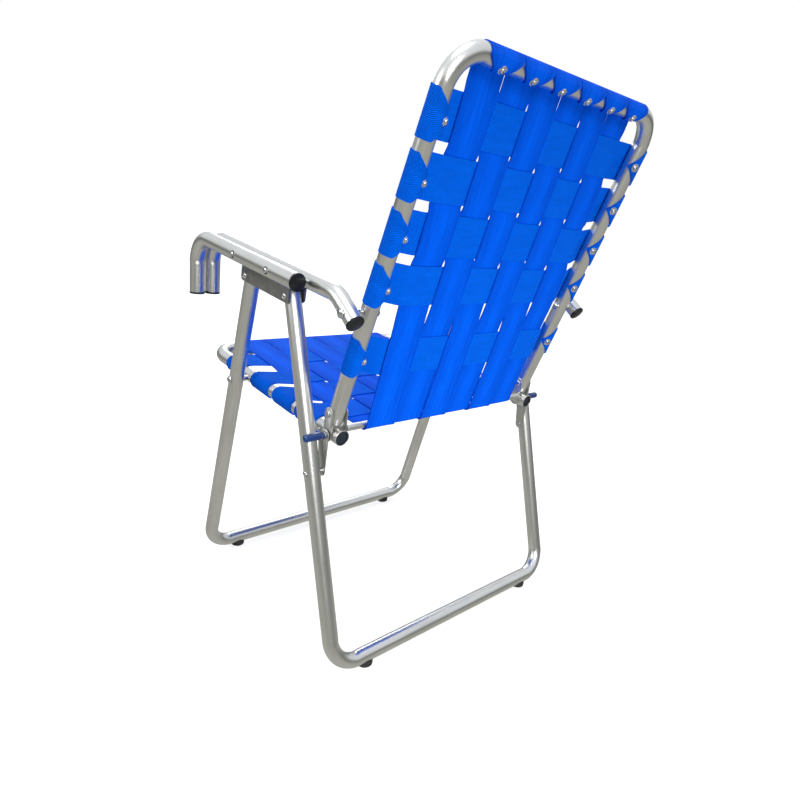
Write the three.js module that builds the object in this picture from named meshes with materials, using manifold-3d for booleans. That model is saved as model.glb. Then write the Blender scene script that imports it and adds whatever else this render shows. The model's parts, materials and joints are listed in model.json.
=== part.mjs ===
import * as THREE from 'three';
import { ConvexGeometry } from 'three/addons/geometries/ConvexGeometry.js';
import { mergeVertices } from 'three/addons/utils/BufferGeometryUtils.js';
import Module from 'manifold-3d';

const wasm = await Module();
wasm.setup();

// A folding chair in side view: +Y points behind the chair, +Z up, and X runs across it.
// Lengths are in millimetres and angles in degrees.

// Tubing, plates and fits
const tubeDiameter = 25.4;
const tubeWall = 1.25;
const frameBend = 45;
const hookBend = 42;
const armRearBend = 50;
const gap = 0.3;

// Facets: tube sides per half turn, bend step in degrees, and sides of small round pieces
const facets = { tubeHalf: 7, bendStep: 18, pin: 10, hole: 8, cap: 12, foot: 20 };

// Widths, centre line to centre line across the chair
const railSpacing = 445.2;
const railToLeg = 9;

// Legs and arms
const frontLeg = { pivotY: -78.5, pivotZ: 566.7, lean: 13.95 };
const rearLegLean = 17.52;
const legPivotSpacing = 117.2;
const legTopRise = 12;
const barHeight = 17.7;
const arm = { slope: 6.02, headroom: 18, hookReach: 141.7, hookDrop: 96, outerLength: 165 };
const armRear = { drop: 30, overhang: 17 };

// Seat and back
const seat = { legDrop: 187.2, tilt: 4.95, frontReach: 153 };
const back = { recline: 18.5, height: 494.5, pivotHeight: 167.8, tail: 13 };
const hinge = {
  inset: 21.2, rise: 32.2, plateThick: 1.6, plateHalfWidth: 10, railHead: 8, headHeight: 1.5,
};
const link = { pinInset: 19.4, legDrop: 260, thick: 1.8, topRadius: 9, footRadius: 8, brow: 17 };
const stopPin = { diameter: 6, sleeveWall: 2.5, reach: 32, legClearance: 0.69 };
const crossRod = { diameter: 11, inset: 13.5, rise: 8.5 };

// Channel brackets under the arms
const bracket = { wall: 2, overhang: 12, lip: 8.7, corner: 6 };
const armScrew = { diameter: 4, head: 9, headHeight: 2.2, frontStation: 2, rearStation: 102 };

// Rivets, bolts, feet and caps
const rivet = { diameter: 5, head: 10, headHeight: 2.2 };
const seatBolt = { diameter: 6, head: 12, headHeight: 3, spacerDiameter: 9.5 };
const foot = { radius: 13.2, height: 10.5, edge: 2.5, inset: 61 };
const cap = { flange: 1.8, dome: 1.6, plugLength: 8, plugGap: 0.02 };
const seatPlug = { recess: 1, length: 9 };

// Straps: the long ones lie side by side. The last cross strap of a field is placed from the
// closing bar, and the others forward from the seat's rear end or up from the back's hinge
const strap = { width: 57, thick: 2, longPitch: 60, longCount: 6, wrap: 205, lap: 4 };
const seatStraps = { fromStart: [83, 151.5, 224], fromBar: 102.2 };
const backStraps = { fromStart: [100, 209.5, 280.5, 351.5], fromBar: 72 };

const tubeRadius = tubeDiameter / 2;
const boreRadius = tubeRadius - tubeWall;
const plugRadius = boreRadius * Math.cos(Math.PI / (2 * facets.tubeHalf)) - cap.plugGap;
const railX = railSpacing / 2;
const legX = railX + tubeDiameter + railToLeg;
const outerArmX = legX + tubeDiameter + bracket.wall + 2 * gap;
const armRise = arm.headroom + bracket.wall + gap + tubeRadius;
const sides = { left: 1, right: -1 };

// Directions and points of the side view
function heading(degrees) {
  const angle = THREE.MathUtils.degToRad(degrees);
  return new THREE.Vector3(0, Math.cos(angle), Math.sin(angle));
}

function from(point, ...moves) {
  const result = point.clone();
  for (const [direction, distance] of moves) {
    result.addScaledVector(direction, distance);
  }
  return result;
}

function atX(point, x) {
  return new THREE.Vector3(x, point.y, point.z);
}

const armAway = heading(-arm.slope);
const armUp = heading(90 - arm.slope);
const frontLegDown = heading(-90 - frontLeg.lean);
const rearLegDown = heading(-90 + rearLegLean);
const seatAway = heading(-seat.tilt);
const seatUp = heading(90 - seat.tilt);
const backUp = heading(90 - back.recline);
const backAhead = heading(180 - back.recline);

function legLength(top, lean) {
  return (top.z - barHeight) / Math.cos(THREE.MathUtils.degToRad(lean));
}

// Pivots of the folding linkage, open
const frontPivot = new THREE.Vector3(0, frontLeg.pivotY, frontLeg.pivotZ);
const rearPivot = from(frontPivot, [armAway, legPivotSpacing]);
const frontBar = from(frontPivot, [frontLegDown, legLength(frontPivot, frontLeg.lean)]);
const rearBar = from(rearPivot, [rearLegDown, legLength(rearPivot, rearLegLean)]);
const seatPivot = from(frontPivot, [frontLegDown, seat.legDrop]);
const seatFront = from(seatPivot, [seatAway, -seat.frontReach]);

// The stop pin in its sleeve stands just behind the rear leg, and the seat ends behind the pin
const sleeveRadius = stopPin.diameter / 2 + gap + stopPin.sleeveWall;
const behindLeg = heading(rearLegLean);
const pinStandoff = tubeRadius + sleeveRadius + stopPin.legClearance;
const pinReach = (pinStandoff + rearPivot.clone().sub(seatPivot).dot(behindLeg)) / seatAway.dot(behindLeg);
const railPin = from(seatPivot, [seatAway, pinReach]);
const seatRear = from(railPin, [seatAway, link.pinInset]);

const hingePivot = from(seatRear, [seatAway, -hinge.inset], [seatUp, hinge.rise]);
const linkFoot = from(rearPivot, [rearLegDown, link.legDrop]);
const backPivot = from(hingePivot, [backUp, back.pivotHeight]);
const backTop = from(hingePivot, [backUp, back.height]);
const rodAxis = from(seatRear, [seatAway, -crossRod.inset], [seatUp, crossRod.rise]);

// Solids
function solidOf(geometry) {
  const bare = geometry.index ? geometry.clone() : geometry;
  bare.deleteAttribute('normal');
  bare.deleteAttribute('uv');
  const merged = mergeVertices(bare, 1e-3);
  const mesh = new wasm.Mesh({
    numProp: 3,
    vertProperties: new Float32Array(merged.attributes.position.array),
    triVerts: new Uint32Array(merged.index.array),
  });
  return new wasm.Manifold(mesh);
}

function geometryOf(solid) {
  const mesh = solid.getMesh();
  const geometry = new THREE.BufferGeometry();
  const positions = new THREE.BufferAttribute(new Float32Array(mesh.vertProperties), 3);
  geometry.setAttribute('position', positions);
  geometry.setIndex(new THREE.BufferAttribute(new Uint32Array(mesh.triVerts), 1));
  geometry.computeVertexNormals();
  return geometry;
}

function cut(solid, tools) {
  return tools.reduce((left, tool) => left.subtract(tool), solid);
}

// A round bar along X, from one x to another
function barAlongX(point, x0, x1, radius, segments) {
  const bar = new THREE.CylinderGeometry(radius, radius, Math.abs(x1 - x0), segments);
  bar.rotateZ(Math.PI / 2);
  bar.translate((x0 + x1) / 2, point.y, point.z);
  return bar;
}

function holeAlongX(point, x0, x1, radius) {
  return solidOf(barAlongX(point, x0, x1, radius, facets.hole));
}

// A polyline with round bends, which ExtrudeGeometry follows station by station
class BentPath extends THREE.Curve {
  constructor(corners, bend) {
    super();
    this.stations = [];
    this.tangents = [];
    corners.forEach((corner, index) => {
      const before = corners[index - 1];
      const after = corners[index + 1];
      if (before && after) {
        this.addBend(before, corner, after, Array.isArray(bend) ? bend[index] : bend);
      } else {
        const run = after ? after.clone().sub(corner) : corner.clone().sub(before);
        this.addStation(corner, run.normalize());
      }
    });
  }

  addStation(point, tangent) {
    this.stations.push(point);
    this.tangents.push(tangent);
  }

  addBend(before, corner, after, radius) {
    const incoming = corner.clone().sub(before).normalize();
    const outgoing = after.clone().sub(corner).normalize();
    const turn = incoming.angleTo(outgoing);
    const inward = outgoing.clone().addScaledVector(incoming, -outgoing.dot(incoming)).normalize();
    const start = corner.clone().addScaledVector(incoming, -radius * Math.tan(turn / 2));
    const steps = Math.max(2, Math.round(turn / THREE.MathUtils.degToRad(facets.bendStep)));
    for (let step = 0; step <= steps; step += 1) {
      const angle = (turn * step) / steps;
      const point = start.clone()
        .addScaledVector(incoming, radius * Math.sin(angle))
        .addScaledVector(inward, radius * (1 - Math.cos(angle)));
      const tangent = incoming.clone().multiplyScalar(Math.cos(angle))
        .addScaledVector(inward, Math.sin(angle));
      this.addStation(point, tangent);
    }
  }

  get steps() {
    return this.stations.length - 1;
  }

  getPoint(t) {
    return this.stations[Math.round(t * this.steps)].clone();
  }

  getPointAt(u) {
    return this.getPoint(u);
  }

  getTangentAt(u) {
    return this.tangents[Math.round(u * this.steps)].clone();
  }

  getSpacedPoints() {
    return this.stations.map((station) => station.clone());
  }
}

// A hollow tube along a bent path
function bentTube(corners, bend) {
  const section = new THREE.Shape();
  section.absarc(0, 0, tubeRadius, 0, 2 * Math.PI, false);
  const bore = new THREE.Path();
  bore.absarc(0, 0, boreRadius, 0, 2 * Math.PI, true);
  section.holes.push(bore);
  const path = new BentPath(corners, bend);
  const options = {
    extrudePath: path,
    steps: path.steps,
    curveSegments: facets.tubeHalf,
    bevelEnabled: false,
  };
  return solidOf(new THREE.ExtrudeGeometry(section, options));
}

// A U-shaped frame: two rails at plus and minus x, joined by a bar at the corner point
function uFrame(halfWidth, end, corner) {
  const corners = [
    atX(end, halfWidth),
    atX(corner, halfWidth),
    atX(corner, -halfWidth),
    atX(end, -halfWidth),
  ];
  return bentTube(corners, frameBend);
}

// Cross holes through both walls of both rails, or through one stretch of x on one side
function pairedHoles(point, x, radius) {
  const reach = tubeRadius + 2;
  return [1, -1].map((side) => holeAlongX(point, side * x - reach, side * x + reach, radius));
}

// A plate in the side plane, with its outline given in y and z, starting at x
function sidePlate(outline, x0, x1) {
  const depth = Math.abs(x1 - x0);
  const options = { depth, bevelEnabled: false, curveSegments: 6 };
  const plate = new THREE.ExtrudeGeometry(outline, options);
  plate.applyMatrix4(new THREE.Matrix4().set(
    0, 0, 1, Math.min(x0, x1),
    1, 0, 0, 0,
    0, 1, 0, 0,
    0, 0, 0, 1,
  ));
  return solidOf(plate);
}

// A round turned piece along X: rows of radius and distance from the start, walking outward
function turned(point, x0, direction, rows) {
  const profile = rows.map(([radius, distance]) => new THREE.Vector2(radius, distance));
  const piece = new THREE.LatheGeometry(profile, facets.pin);
  piece.rotateZ(-Math.PI / 2 * direction);
  piece.translate(x0, point.y, point.z);
  return solidOf(piece);
}

// A two-headed fastener along X between two faces that its heads clear by the gap
function headedPin(point, x0, x1, size) {
  const direction = Math.sign(x1 - x0);
  const length = Math.abs(x1 - x0) + 2 * gap;
  const shank = size.diameter / 2;
  const head = size.head / 2;
  const rows = [
    [0, -size.headHeight],
    [head * 0.6, -size.headHeight * 0.85],
    [head, 0],
    [shank, 0],
    [shank, length],
    [head, length],
    [head * 0.6, length + size.headHeight * 0.85],
    [0, length + size.headHeight],
  ];
  return turned(point, x0 - direction * gap, direction, rows);
}

// A one-headed pin along X: the head clears the first face, the shank ends at the second x
function studPin(point, x0, x1, size) {
  const direction = Math.sign(x1 - x0);
  const length = Math.abs(x1 - x0) + gap;
  const shank = size.diameter / 2;
  const head = size.head / 2;
  const rows = [
    [0, -size.headHeight],
    [head * 0.6, -size.headHeight * 0.85],
    [head, 0],
    [shank, 0],
    [shank, length],
    [0, length],
  ];
  return turned(point, x0 - direction * gap, direction, rows);
}

const chair = new THREE.Group();

const finishes = {
  aluminium: { color: 0xb9bbb8, roughness: 0.32, metalness: 1 },
  plate: { color: 0xa9aaa6, roughness: 0.4, metalness: 1 },
  steel: { color: 0xc4c6c8, roughness: 0.25, metalness: 1 },
  rubber: { color: 0x14161a, roughness: 0.75, metalness: 0 },
  plastic: { color: 0x14171c, roughness: 0.4, metalness: 0 },
  vinyl: { color: 0x0a2a78, roughness: 0.2, metalness: 0 },
  webbing: { color: 0x0a55e6, roughness: 0.7, metalness: 0 },
};

function addPart(name, solid, finish) {
  const mesh = new THREE.Mesh(geometryOf(solid), new THREE.MeshStandardMaterial(finishes[finish]));
  mesh.name = name;
  chair.add(mesh);
}

const rivetHole = rivet.diameter / 2 + gap;
const boltHole = seatBolt.diameter / 2 + gap;
const pinHole = stopPin.diameter / 2 + gap;
const screwHole = armScrew.diameter / 2 + gap;

function addFrames() {
  const frontTop = from(frontPivot, [frontLegDown, -legTopRise]);
  const rearTop = from(rearPivot, [rearLegDown, -legTopRise]);
  const backTail = from(hingePivot, [backUp, -back.tail]);
  addPart('front_leg_frame', cut(uFrame(legX, frontTop, frontBar), [
    ...pairedHoles(frontPivot, legX, rivetHole),
    ...pairedHoles(seatPivot, legX, boltHole),
  ]), 'aluminium');
  addPart('rear_leg_frame', cut(uFrame(legX, rearTop, rearBar), [
    ...pairedHoles(rearPivot, legX, rivetHole),
    ...pairedHoles(linkFoot, legX, rivetHole),
  ]), 'aluminium');
  addPart('seat_frame', cut(uFrame(railX, seatRear, seatFront), [
    ...pairedHoles(seatPivot, railX, boltHole),
    ...pairedHoles(railPin, railX, pinHole),
  ]), 'aluminium');
  addPart('back_frame', cut(uFrame(railX, backTail, backTop), [
    ...pairedHoles(hingePivot, railX, rivetHole),
    ...pairedHoles(backPivot, railX, boltHole),
  ]), 'aluminium');
}

// Arm geometry, shared by both sides
const armLine = from(frontPivot, [armUp, armRise]);
const hookY = frontPivot.y - arm.hookReach;
const hookCornerRun = (armLine.y - hookY) / armAway.y;
const hookCorner = from(armLine, [armAway, -hookCornerRun]);
const hookTip = from(hookCorner, [heading(-90), arm.hookDrop]);
const outerArmRear = from(frontPivot, [armUp, armRise], [armAway, arm.outerLength]);
const armRearDown = heading(-arm.slope - armRear.drop);
const dropTurn = THREE.MathUtils.degToRad(armRear.drop);
const backPivotBelow = armLine.clone().sub(backPivot).dot(armUp);
const elbow = from(backPivot, [armRearDown, -backPivotBelow / Math.sin(dropTurn)]);
const innerArmRear = from(backPivot, [armRearDown, armRear.overhang]);
const armScrews = [armScrew.frontStation, armScrew.rearStation].map(
  (station) => from(armLine, [armAway, station]),
);

// A closing cap on a tube end: a plug inside the bore, a flange and a low dome
function tubeCap(point, direction, x) {
  const flange = tubeRadius;
  const profile = [
    [0, -cap.plugLength],
    [plugRadius, -cap.plugLength],
    [plugRadius, gap],
    [flange, gap],
    [flange, gap + cap.flange * 0.7],
    [flange - 1.2, gap + cap.flange],
    [flange * 0.6, gap + cap.flange + cap.dome * 0.75],
    [0, gap + cap.flange + cap.dome],
  ].map(([radius, height]) => new THREE.Vector2(radius, height));
  const shape = new THREE.LatheGeometry(profile, facets.cap);
  const up = new THREE.Vector3(0, 1, 0);
  shape.applyQuaternion(new THREE.Quaternion().setFromUnitVectors(up, direction));
  shape.translate(x, point.y, point.z);
  return solidOf(shape);
}

function addArm(name, side) {
  const innerX = side * legX;
  const outerX = side * outerArmX;
  const innerFace = innerX - side * tubeRadius;
  const outerFace = outerX + side * tubeRadius;
  const through = side * 2;
  const tip = heading(-90);
  const outerTube = bentTube([hookTip, hookCorner, outerArmRear].map((p) => atX(p, outerX)), hookBend);
  const outerHoles = armScrews.map(
    (point) => holeAlongX(point, outerX - side * tubeRadius - through, outerFace + through, screwHole),
  );
  addPart(`arm_tube_outer_${name}`, cut(outerTube, outerHoles), 'aluminium');
  const innerPath = [hookTip, hookCorner, elbow, innerArmRear].map((p) => atX(p, innerX));
  const innerTube = bentTube(innerPath, [0, hookBend, armRearBend, 0]);
  const innerHoles = armScrews.map(
    (point) => holeAlongX(point, innerX + side * 5, innerX + side * tubeRadius + through, screwHole),
  );
  const pivotHole = holeAlongX(
    backPivot, innerFace - through, innerX + side * tubeRadius + through, boltHole,
  );
  addPart(`arm_tube_inner_${name}`, cut(innerTube, [...innerHoles, pivotHole]), 'aluminium');
  addPart(`arm_cap_front_outer_${name}`, tubeCap(hookTip, tip, outerX), 'plastic');
  addPart(`arm_cap_front_inner_${name}`, tubeCap(hookTip, tip, innerX), 'plastic');
  addPart(`arm_cap_rear_outer_${name}`, tubeCap(outerArmRear, armAway, outerX), 'plastic');
  addPart(`arm_cap_rear_inner_${name}`, tubeCap(innerArmRear, armRearDown, innerX), 'plastic');
  const screwNames = ['front', 'rear'];
  armScrews.forEach((point, index) => {
    const screw = studPin(point, outerFace, innerX + side * 7, armScrew);
    addPart(`arm_screw_${screwNames[index]}_${name}`, screw, 'steel');
  });
}

// Outline in the arm's own directions: distance along the arm and height above the pivots
function armPoint(along, up) {
  const point = from(frontPivot, [armAway, along], [armUp, up]);
  return new THREE.Vector2(point.y, point.z);
}

function bracketWall(top) {
  const front = -bracket.overhang;
  const rear = legPivotSpacing + bracket.overhang;
  const low = -bracket.lip;
  const shape = new THREE.Shape();
  const start = armPoint(front, top);
  shape.moveTo(start.x, start.y);
  const corners = [
    [armPoint(front, low + bracket.corner), armPoint(front, low), armPoint(front + bracket.corner, low)],
    [armPoint(rear - bracket.corner, low), armPoint(rear, low), armPoint(rear, low + bracket.corner)],
  ];
  for (const [enter, corner, leave] of corners) {
    shape.lineTo(enter.x, enter.y);
    shape.quadraticCurveTo(corner.x, corner.y, leave.x, leave.y);
  }
  const end = armPoint(rear, top);
  shape.lineTo(end.x, end.y);
  shape.closePath();
  return shape;
}

function addBracket(name, side) {
  const inner = side * (legX - tubeRadius - gap);
  const outer = side * (legX + tubeRadius + gap);
  const thick = side * bracket.wall;
  const webTop = armRise - tubeRadius - gap;
  const outerTop = armRise + 8;
  const outerWall = sidePlate(bracketWall(outerTop), outer, outer + thick);
  const innerWall = sidePlate(bracketWall(webTop), inner - thick, inner);
  const web = new THREE.Shape([
    armPoint(-bracket.overhang, webTop - bracket.wall),
    armPoint(legPivotSpacing + bracket.overhang, webTop - bracket.wall),
    armPoint(legPivotSpacing + bracket.overhang, webTop),
    armPoint(-bracket.overhang, webTop),
  ]);
  const channel = outerWall.add(innerWall).add(sidePlate(web, inner - thick, outer + thick));
  const reach = side * 5;
  const span = [inner - thick - reach, outer + thick + reach];
  const holes = [frontPivot, rearPivot].map((p) => holeAlongX(p, span[0], span[1], rivetHole));
  const screwHoles = armScrews.map(
    (point) => holeAlongX(point, outer - side, outer + thick + side, screwHole),
  );
  addPart(`arm_bracket_${name}`, cut(channel, [...holes, ...screwHoles]), 'plate');
  addPart(`leg_rivet_front_${name}`, headedPin(frontPivot, outer + thick, inner - thick, rivet), 'steel');
  addPart(`leg_rivet_rear_${name}`, headedPin(rearPivot, outer + thick, inner - thick, rivet), 'steel');
}

// A strip with round ends of two radii, from one point of the side view to another
function taperedStrip(start, startRadius, end, endRadius) {
  const axis = new THREE.Vector2(end.y - start.y, end.z - start.z);
  const angle = axis.angle();
  const lean = Math.asin((startRadius - endRadius) / axis.length());
  const quarter = Math.PI / 2;
  const shape = new THREE.Shape();
  shape.absarc(start.y, start.z, startRadius, angle + quarter - lean, angle - quarter + lean, false);
  shape.absarc(end.y, end.z, endRadius, angle - quarter + lean, angle + quarter - lean, false);
  shape.closePath();
  return shape;
}

const plateInner = railX - tubeRadius - gap;
const plateOuter = railX + tubeRadius + gap;

function addHinge(name, side) {
  const foot0 = from(railPin, [backUp, -1]);
  const outline = taperedStrip(foot0, hinge.plateHalfWidth, hingePivot, hinge.plateHalfWidth);
  const outerFace = side * (plateOuter + hinge.plateThick);
  const innerFace = side * (plateInner - hinge.plateThick);
  const holes = [
    holeAlongX(railPin, innerFace - side * 2, outerFace + side * 2, pinHole),
    holeAlongX(hingePivot, innerFace - side * 2, outerFace + side * 2, rivetHole),
  ];
  const outerPlate = sidePlate(outline, side * plateOuter, outerFace);
  const innerPlate = sidePlate(outline, innerFace, side * plateInner);
  addPart(`hinge_plate_outer_${name}`, cut(outerPlate, holes), 'plate');
  addPart(`hinge_plate_inner_${name}`, cut(innerPlate, holes), 'plate');
  addPart(`hinge_rivet_${name}`, headedPin(hingePivot, outerFace, innerFace, {
    diameter: rivet.diameter, head: rivet.head, headHeight: hinge.headHeight,
  }), 'steel');
  addPart(`rail_rivet_${name}`, studPin(railPin, innerFace, outerFace, {
    diameter: stopPin.diameter, head: hinge.railHead, headHeight: rivet.headHeight,
  }), 'steel');
}

// The link swings clear of the hinge rivet's head
function addLink(name, side) {
  const near = side * (plateOuter + hinge.plateThick + hinge.headHeight + 2 * gap);
  const far = near + side * link.thick;
  const legFace = side * (legX - tubeRadius);
  const plate = new THREE.Shape();
  const brow = from(railPin, [heading(180), link.brow], [heading(90), link.topRadius * 0.4]);
  plate.moveTo(brow.y, brow.z);
  plate.lineTo(linkFoot.y - link.footRadius, linkFoot.z);
  plate.absarc(linkFoot.y, linkFoot.z, link.footRadius, Math.PI, 2 * Math.PI, false);
  plate.absarc(railPin.y, railPin.z, link.topRadius, 0, Math.PI / 2, false);
  plate.closePath();
  const solid = cut(sidePlate(plate, near, far), [
    holeAlongX(railPin, near - side * 2, far + side * 2, pinHole),
    holeAlongX(linkFoot, near - side * 2, far + side * 2, rivetHole),
  ]);
  addPart(`link_plate_${name}`, solid, 'plate');
  const pinEnd = far + side * (stopPin.reach + 1);
  const pinHead = { diameter: stopPin.diameter, head: 9, headHeight: 2 };
  addPart(`stop_pin_${name}`, stopPinSolid(near, far, pinEnd, side, pinHead), 'steel');
  addPart(`stop_sleeve_${name}`, sleeveSolid(far, side), 'vinyl');
  addPart(`link_rivet_${name}`, linkRivet(near, far, legFace, side), 'steel');
}

// The stop pin is fixed in the link plate by a collar and stands out behind the rear leg
function stopPinSolid(near, far, end, side, size) {
  const shank = size.diameter / 2;
  const collar = size.head / 2;
  const start = Math.abs(near) + gap;
  const plateFar = Math.abs(far) + gap;
  const rows = [
    [0, 0],
    [shank, 0],
    [shank, plateFar - start],
    [collar, plateFar - start],
    [collar, plateFar - start + 1],
    [shank, plateFar - start + 1],
    [shank, Math.abs(end) - start],
    [0, Math.abs(end) - start],
  ];
  return turned(railPin, side * start, side, rows);
}

// A closed-ended sleeve on the stop pin
function sleeveSolid(far, side) {
  const inner = stopPin.diameter / 2 + gap;
  const outer = sleeveRadius;
  const start = Math.abs(far) + gap + 1 + gap;
  const end = Math.abs(far) + stopPin.reach + 1 + gap;
  const rows = [
    [inner, 0],
    [outer - 0.8, 0],
    [outer, 0.8],
    [outer, end - start],
    [outer * 0.8, end - start + 2],
    [0, end - start + 2.6],
    [0, end - start],
    [inner, end - start],
    [inner, 0],
  ];
  return turned(railPin, side * start, side, rows);
}

// The link rivet: a head inside the link, a collar between link and leg, a head outside the leg
function linkRivet(near, far, legFace, side) {
  const shank = rivet.diameter / 2;
  const head = rivet.head / 2;
  const start = Math.abs(near) - gap - 1;
  const stations = {
    plateNear: Math.abs(near) - gap,
    plateFar: Math.abs(far) + gap,
    legNear: Math.abs(legFace) - gap,
    legFar: Math.abs(legFace) + tubeDiameter + gap,
  };
  const at = (x) => x - start;
  const rows = [
    [0, 0],
    [head * 0.8, 0],
    [head * 0.8, at(stations.plateNear)],
    [shank, at(stations.plateNear)],
    [shank, at(stations.plateFar)],
    [head * 0.9, at(stations.plateFar)],
    [head * 0.9, at(stations.legNear)],
    [shank, at(stations.legNear)],
    [shank, at(stations.legFar)],
    [head, at(stations.legFar)],
    [head * 0.6, at(stations.legFar) + rivet.headHeight * 0.85],
    [0, at(stations.legFar) + rivet.headHeight],
  ];
  return turned(linkFoot, side * start, side, rows);
}

function addSeatPivot(name, side) {
  const legOuter = side * (legX + tubeRadius);
  const railInner = side * (railX - tubeRadius);
  addPart(`seat_bolt_${name}`, headedPin(seatPivot, legOuter, railInner, seatBolt), 'steel');
  const start = railX + tubeRadius + gap;
  const end = legX - tubeRadius - gap;
  const spacerRows = [
    [boltHole, 0],
    [seatBolt.spacerDiameter / 2, 0],
    [seatBolt.spacerDiameter / 2, end - start],
    [boltHole, end - start],
    [boltHole, 0],
  ];
  addPart(`seat_spacer_${name}`, turned(seatPivot, side * start, side, spacerRows), 'steel');
}

// The arm runs on a bolt whose collar stops short of the back frame, and the back frame
// carries a stud of its own on the same axis
function addBackPivot(name, side) {
  const armOuter = legX + tubeRadius;
  const armInner = legX - tubeRadius;
  const shank = seatBolt.diameter / 2;
  const head = seatBolt.head / 2;
  const end = armOuter - railX - tubeRadius;
  const rows = [
    [0, -seatBolt.headHeight],
    [head * 0.6, -seatBolt.headHeight * 0.85],
    [head, 0],
    [shank, 0],
    [shank, armOuter - armInner + 2 * gap],
    [head * 0.8, armOuter - armInner + 2 * gap],
    [head * 0.8, end],
    [0, end],
  ];
  const bolt = turned(backPivot, side * (armOuter + gap), -side, rows);
  addPart(`back_pivot_bolt_${name}`, bolt, 'steel');
  const studEnd = side * (railX + tubeRadius - gap);
  const stud = studPin(backPivot, side * (railX - tubeRadius), studEnd, seatBolt);
  addPart(`back_pivot_stud_${name}`, stud, 'steel');
}

function addCrossRod() {
  const end = plateInner - hinge.plateThick - gap;
  const rod = barAlongX(rodAxis, -end, end, crossRod.diameter / 2, facets.cap);
  addPart('cross_rod', solidOf(rod), 'aluminium');
}

// A rubber button under a leg bar, with a saddle that the tube rests in
function addFoot(name, bar, side) {
  const profile = [
    [0, 0],
    [foot.radius - foot.edge, 0],
    [foot.radius - foot.edge * 0.3, foot.edge * 0.3],
    [foot.radius, foot.edge],
    [foot.radius, foot.height],
    [0, foot.height],
  ].map(([radius, height]) => new THREE.Vector2(radius, height));
  const button = new THREE.LatheGeometry(profile, facets.foot);
  button.rotateX(Math.PI / 2);
  const x = side * (legX - foot.inset);
  button.translate(x, bar.y, 0);
  const reach = foot.radius + 2;
  const saddle = solidOf(barAlongX(bar, x - reach, x + reach, tubeRadius + gap, facets.foot));
  addPart(name, cut(solidOf(button), [saddle]), 'rubber');
}

function addSeatPlug(name, side) {
  const plug = new THREE.CylinderGeometry(plugRadius, plugRadius, seatPlug.length, facets.cap);
  const up = new THREE.Vector3(0, 1, 0);
  plug.applyQuaternion(new THREE.Quaternion().setFromUnitVectors(up, seatAway));
  const centre = from(seatRear, [seatAway, -seatPlug.recess - seatPlug.length / 2]);
  plug.translate(side * railX, centre.y, centre.z);
  addPart(`seat_plug_${name}`, solidOf(plug), 'plastic');
}

const strapRadius = tubeRadius + gap + strap.thick / 2;
const fieldHalf = ((strap.longCount - 1) * strap.longPitch + strap.width) / 2;

// A point of a webbing field: x across, distance along the frame, height above its mid-plane
function fieldPoint(field, x, along, above) {
  return from(atX(field.origin, x), [field.along, along], [field.normal, above]);
}

// Height of the taut long straps, which run straight from the cross rod to the closing bar
function strapHeight(field, along) {
  const share = (along - field.start) / (field.end - field.start);
  return field.startHeight + share * (strapRadius - field.startHeight);
}

// A flat strip between two edges, each given by x, a distance along and a height
function strip(field, edges) {
  const half = strap.thick / 2;
  const points = edges.flatMap(([x, along, height]) => [
    fieldPoint(field, x, along, height - half),
    fieldPoint(field, x, along, height + half),
  ]);
  return solidOf(new ConvexGeometry(points));
}

// A sleeve segment round a centre, from one angle to another, as outline points
function wrapOutline(first, last, place) {
  const steps = Math.ceil(Math.abs(last - first) / facets.bendStep);
  const arc = (radius) => Array.from({ length: steps + 1 }, (_, step) => {
    const angle = THREE.MathUtils.degToRad(first + ((last - first) * step) / steps);
    return place(radius * Math.sin(angle), radius * Math.cos(angle));
  });
  const half = strap.thick / 2;
  return new THREE.Shape([...arc(strapRadius + half), ...arc(strapRadius - half).reverse()]);
}

// The end of a cross strap: it leaves the long straps, meets the rail and wraps round it
function crossEnd(field, along, side) {
  const height = strapHeight(field, along);
  const run = railX - fieldHalf;
  const reach = Math.hypot(run, height);
  const rise = Math.asin(strapRadius / reach) - Math.atan2(height, run);
  const touch = {
    x: railX - strapRadius * Math.sin(rise),
    height: strapRadius * Math.cos(rise),
  };
  const low = along - strap.width / 2;
  const high = along + strap.width / 2;
  const inner = side * (fieldHalf - strap.lap);
  const flat = strip(field, [
    [inner, low, strapHeight(field, low)],
    [inner, high, strapHeight(field, high)],
    [side * touch.x, low, touch.height],
    [side * touch.x, high, touch.height],
  ]);
  const first = -THREE.MathUtils.radToDeg(rise) - 1;
  const outline = wrapOutline(first, strap.wrap, (x, y) => new THREE.Vector2(side * (railX + x), y));
  const wrap = new THREE.ExtrudeGeometry(outline, { depth: strap.width, bevelEnabled: false });
  const across = new THREE.Vector3(1, 0, 0);
  const depthAxis = new THREE.Vector3().crossVectors(across, field.normal);
  const forward = depthAxis.dot(field.along) > 0;
  const frame = new THREE.Matrix4().makeBasis(across, field.normal, depthAxis);
  frame.setPosition(fieldPoint(field, 0, forward ? low : high, 0));
  wrap.applyMatrix4(frame);
  return flat.add(solidOf(wrap));
}

// A field: the long straps as one sheet, wrapped over the closing bar, and its cross straps
function addField(name, field, crossStraps) {
  const corners = [-fieldHalf, fieldHalf].flatMap((x) => [
    [x, field.start, field.startHeight],
    [x, field.end, strapRadius],
  ]);
  const bar = fieldPoint(field, 0, field.end, 0);
  const place = (ahead, above) => {
    const point = from(bar, [field.along, ahead], [field.normal, above]);
    return new THREE.Vector2(point.y, point.z);
  };
  let solid = strip(field, corners);
  solid = solid.add(sidePlate(wrapOutline(-1, strap.wrap, place), -fieldHalf, fieldHalf));
  const last = field.end - crossStraps.fromBar;
  const others = crossStraps.fromStart.filter((along) => along + strap.width <= last);
  for (const along of [...others, last]) {
    solid = solid.add(crossEnd(field, along, 1)).add(crossEnd(field, along, -1));
  }
  addPart(name, solid, 'webbing');
}

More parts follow.
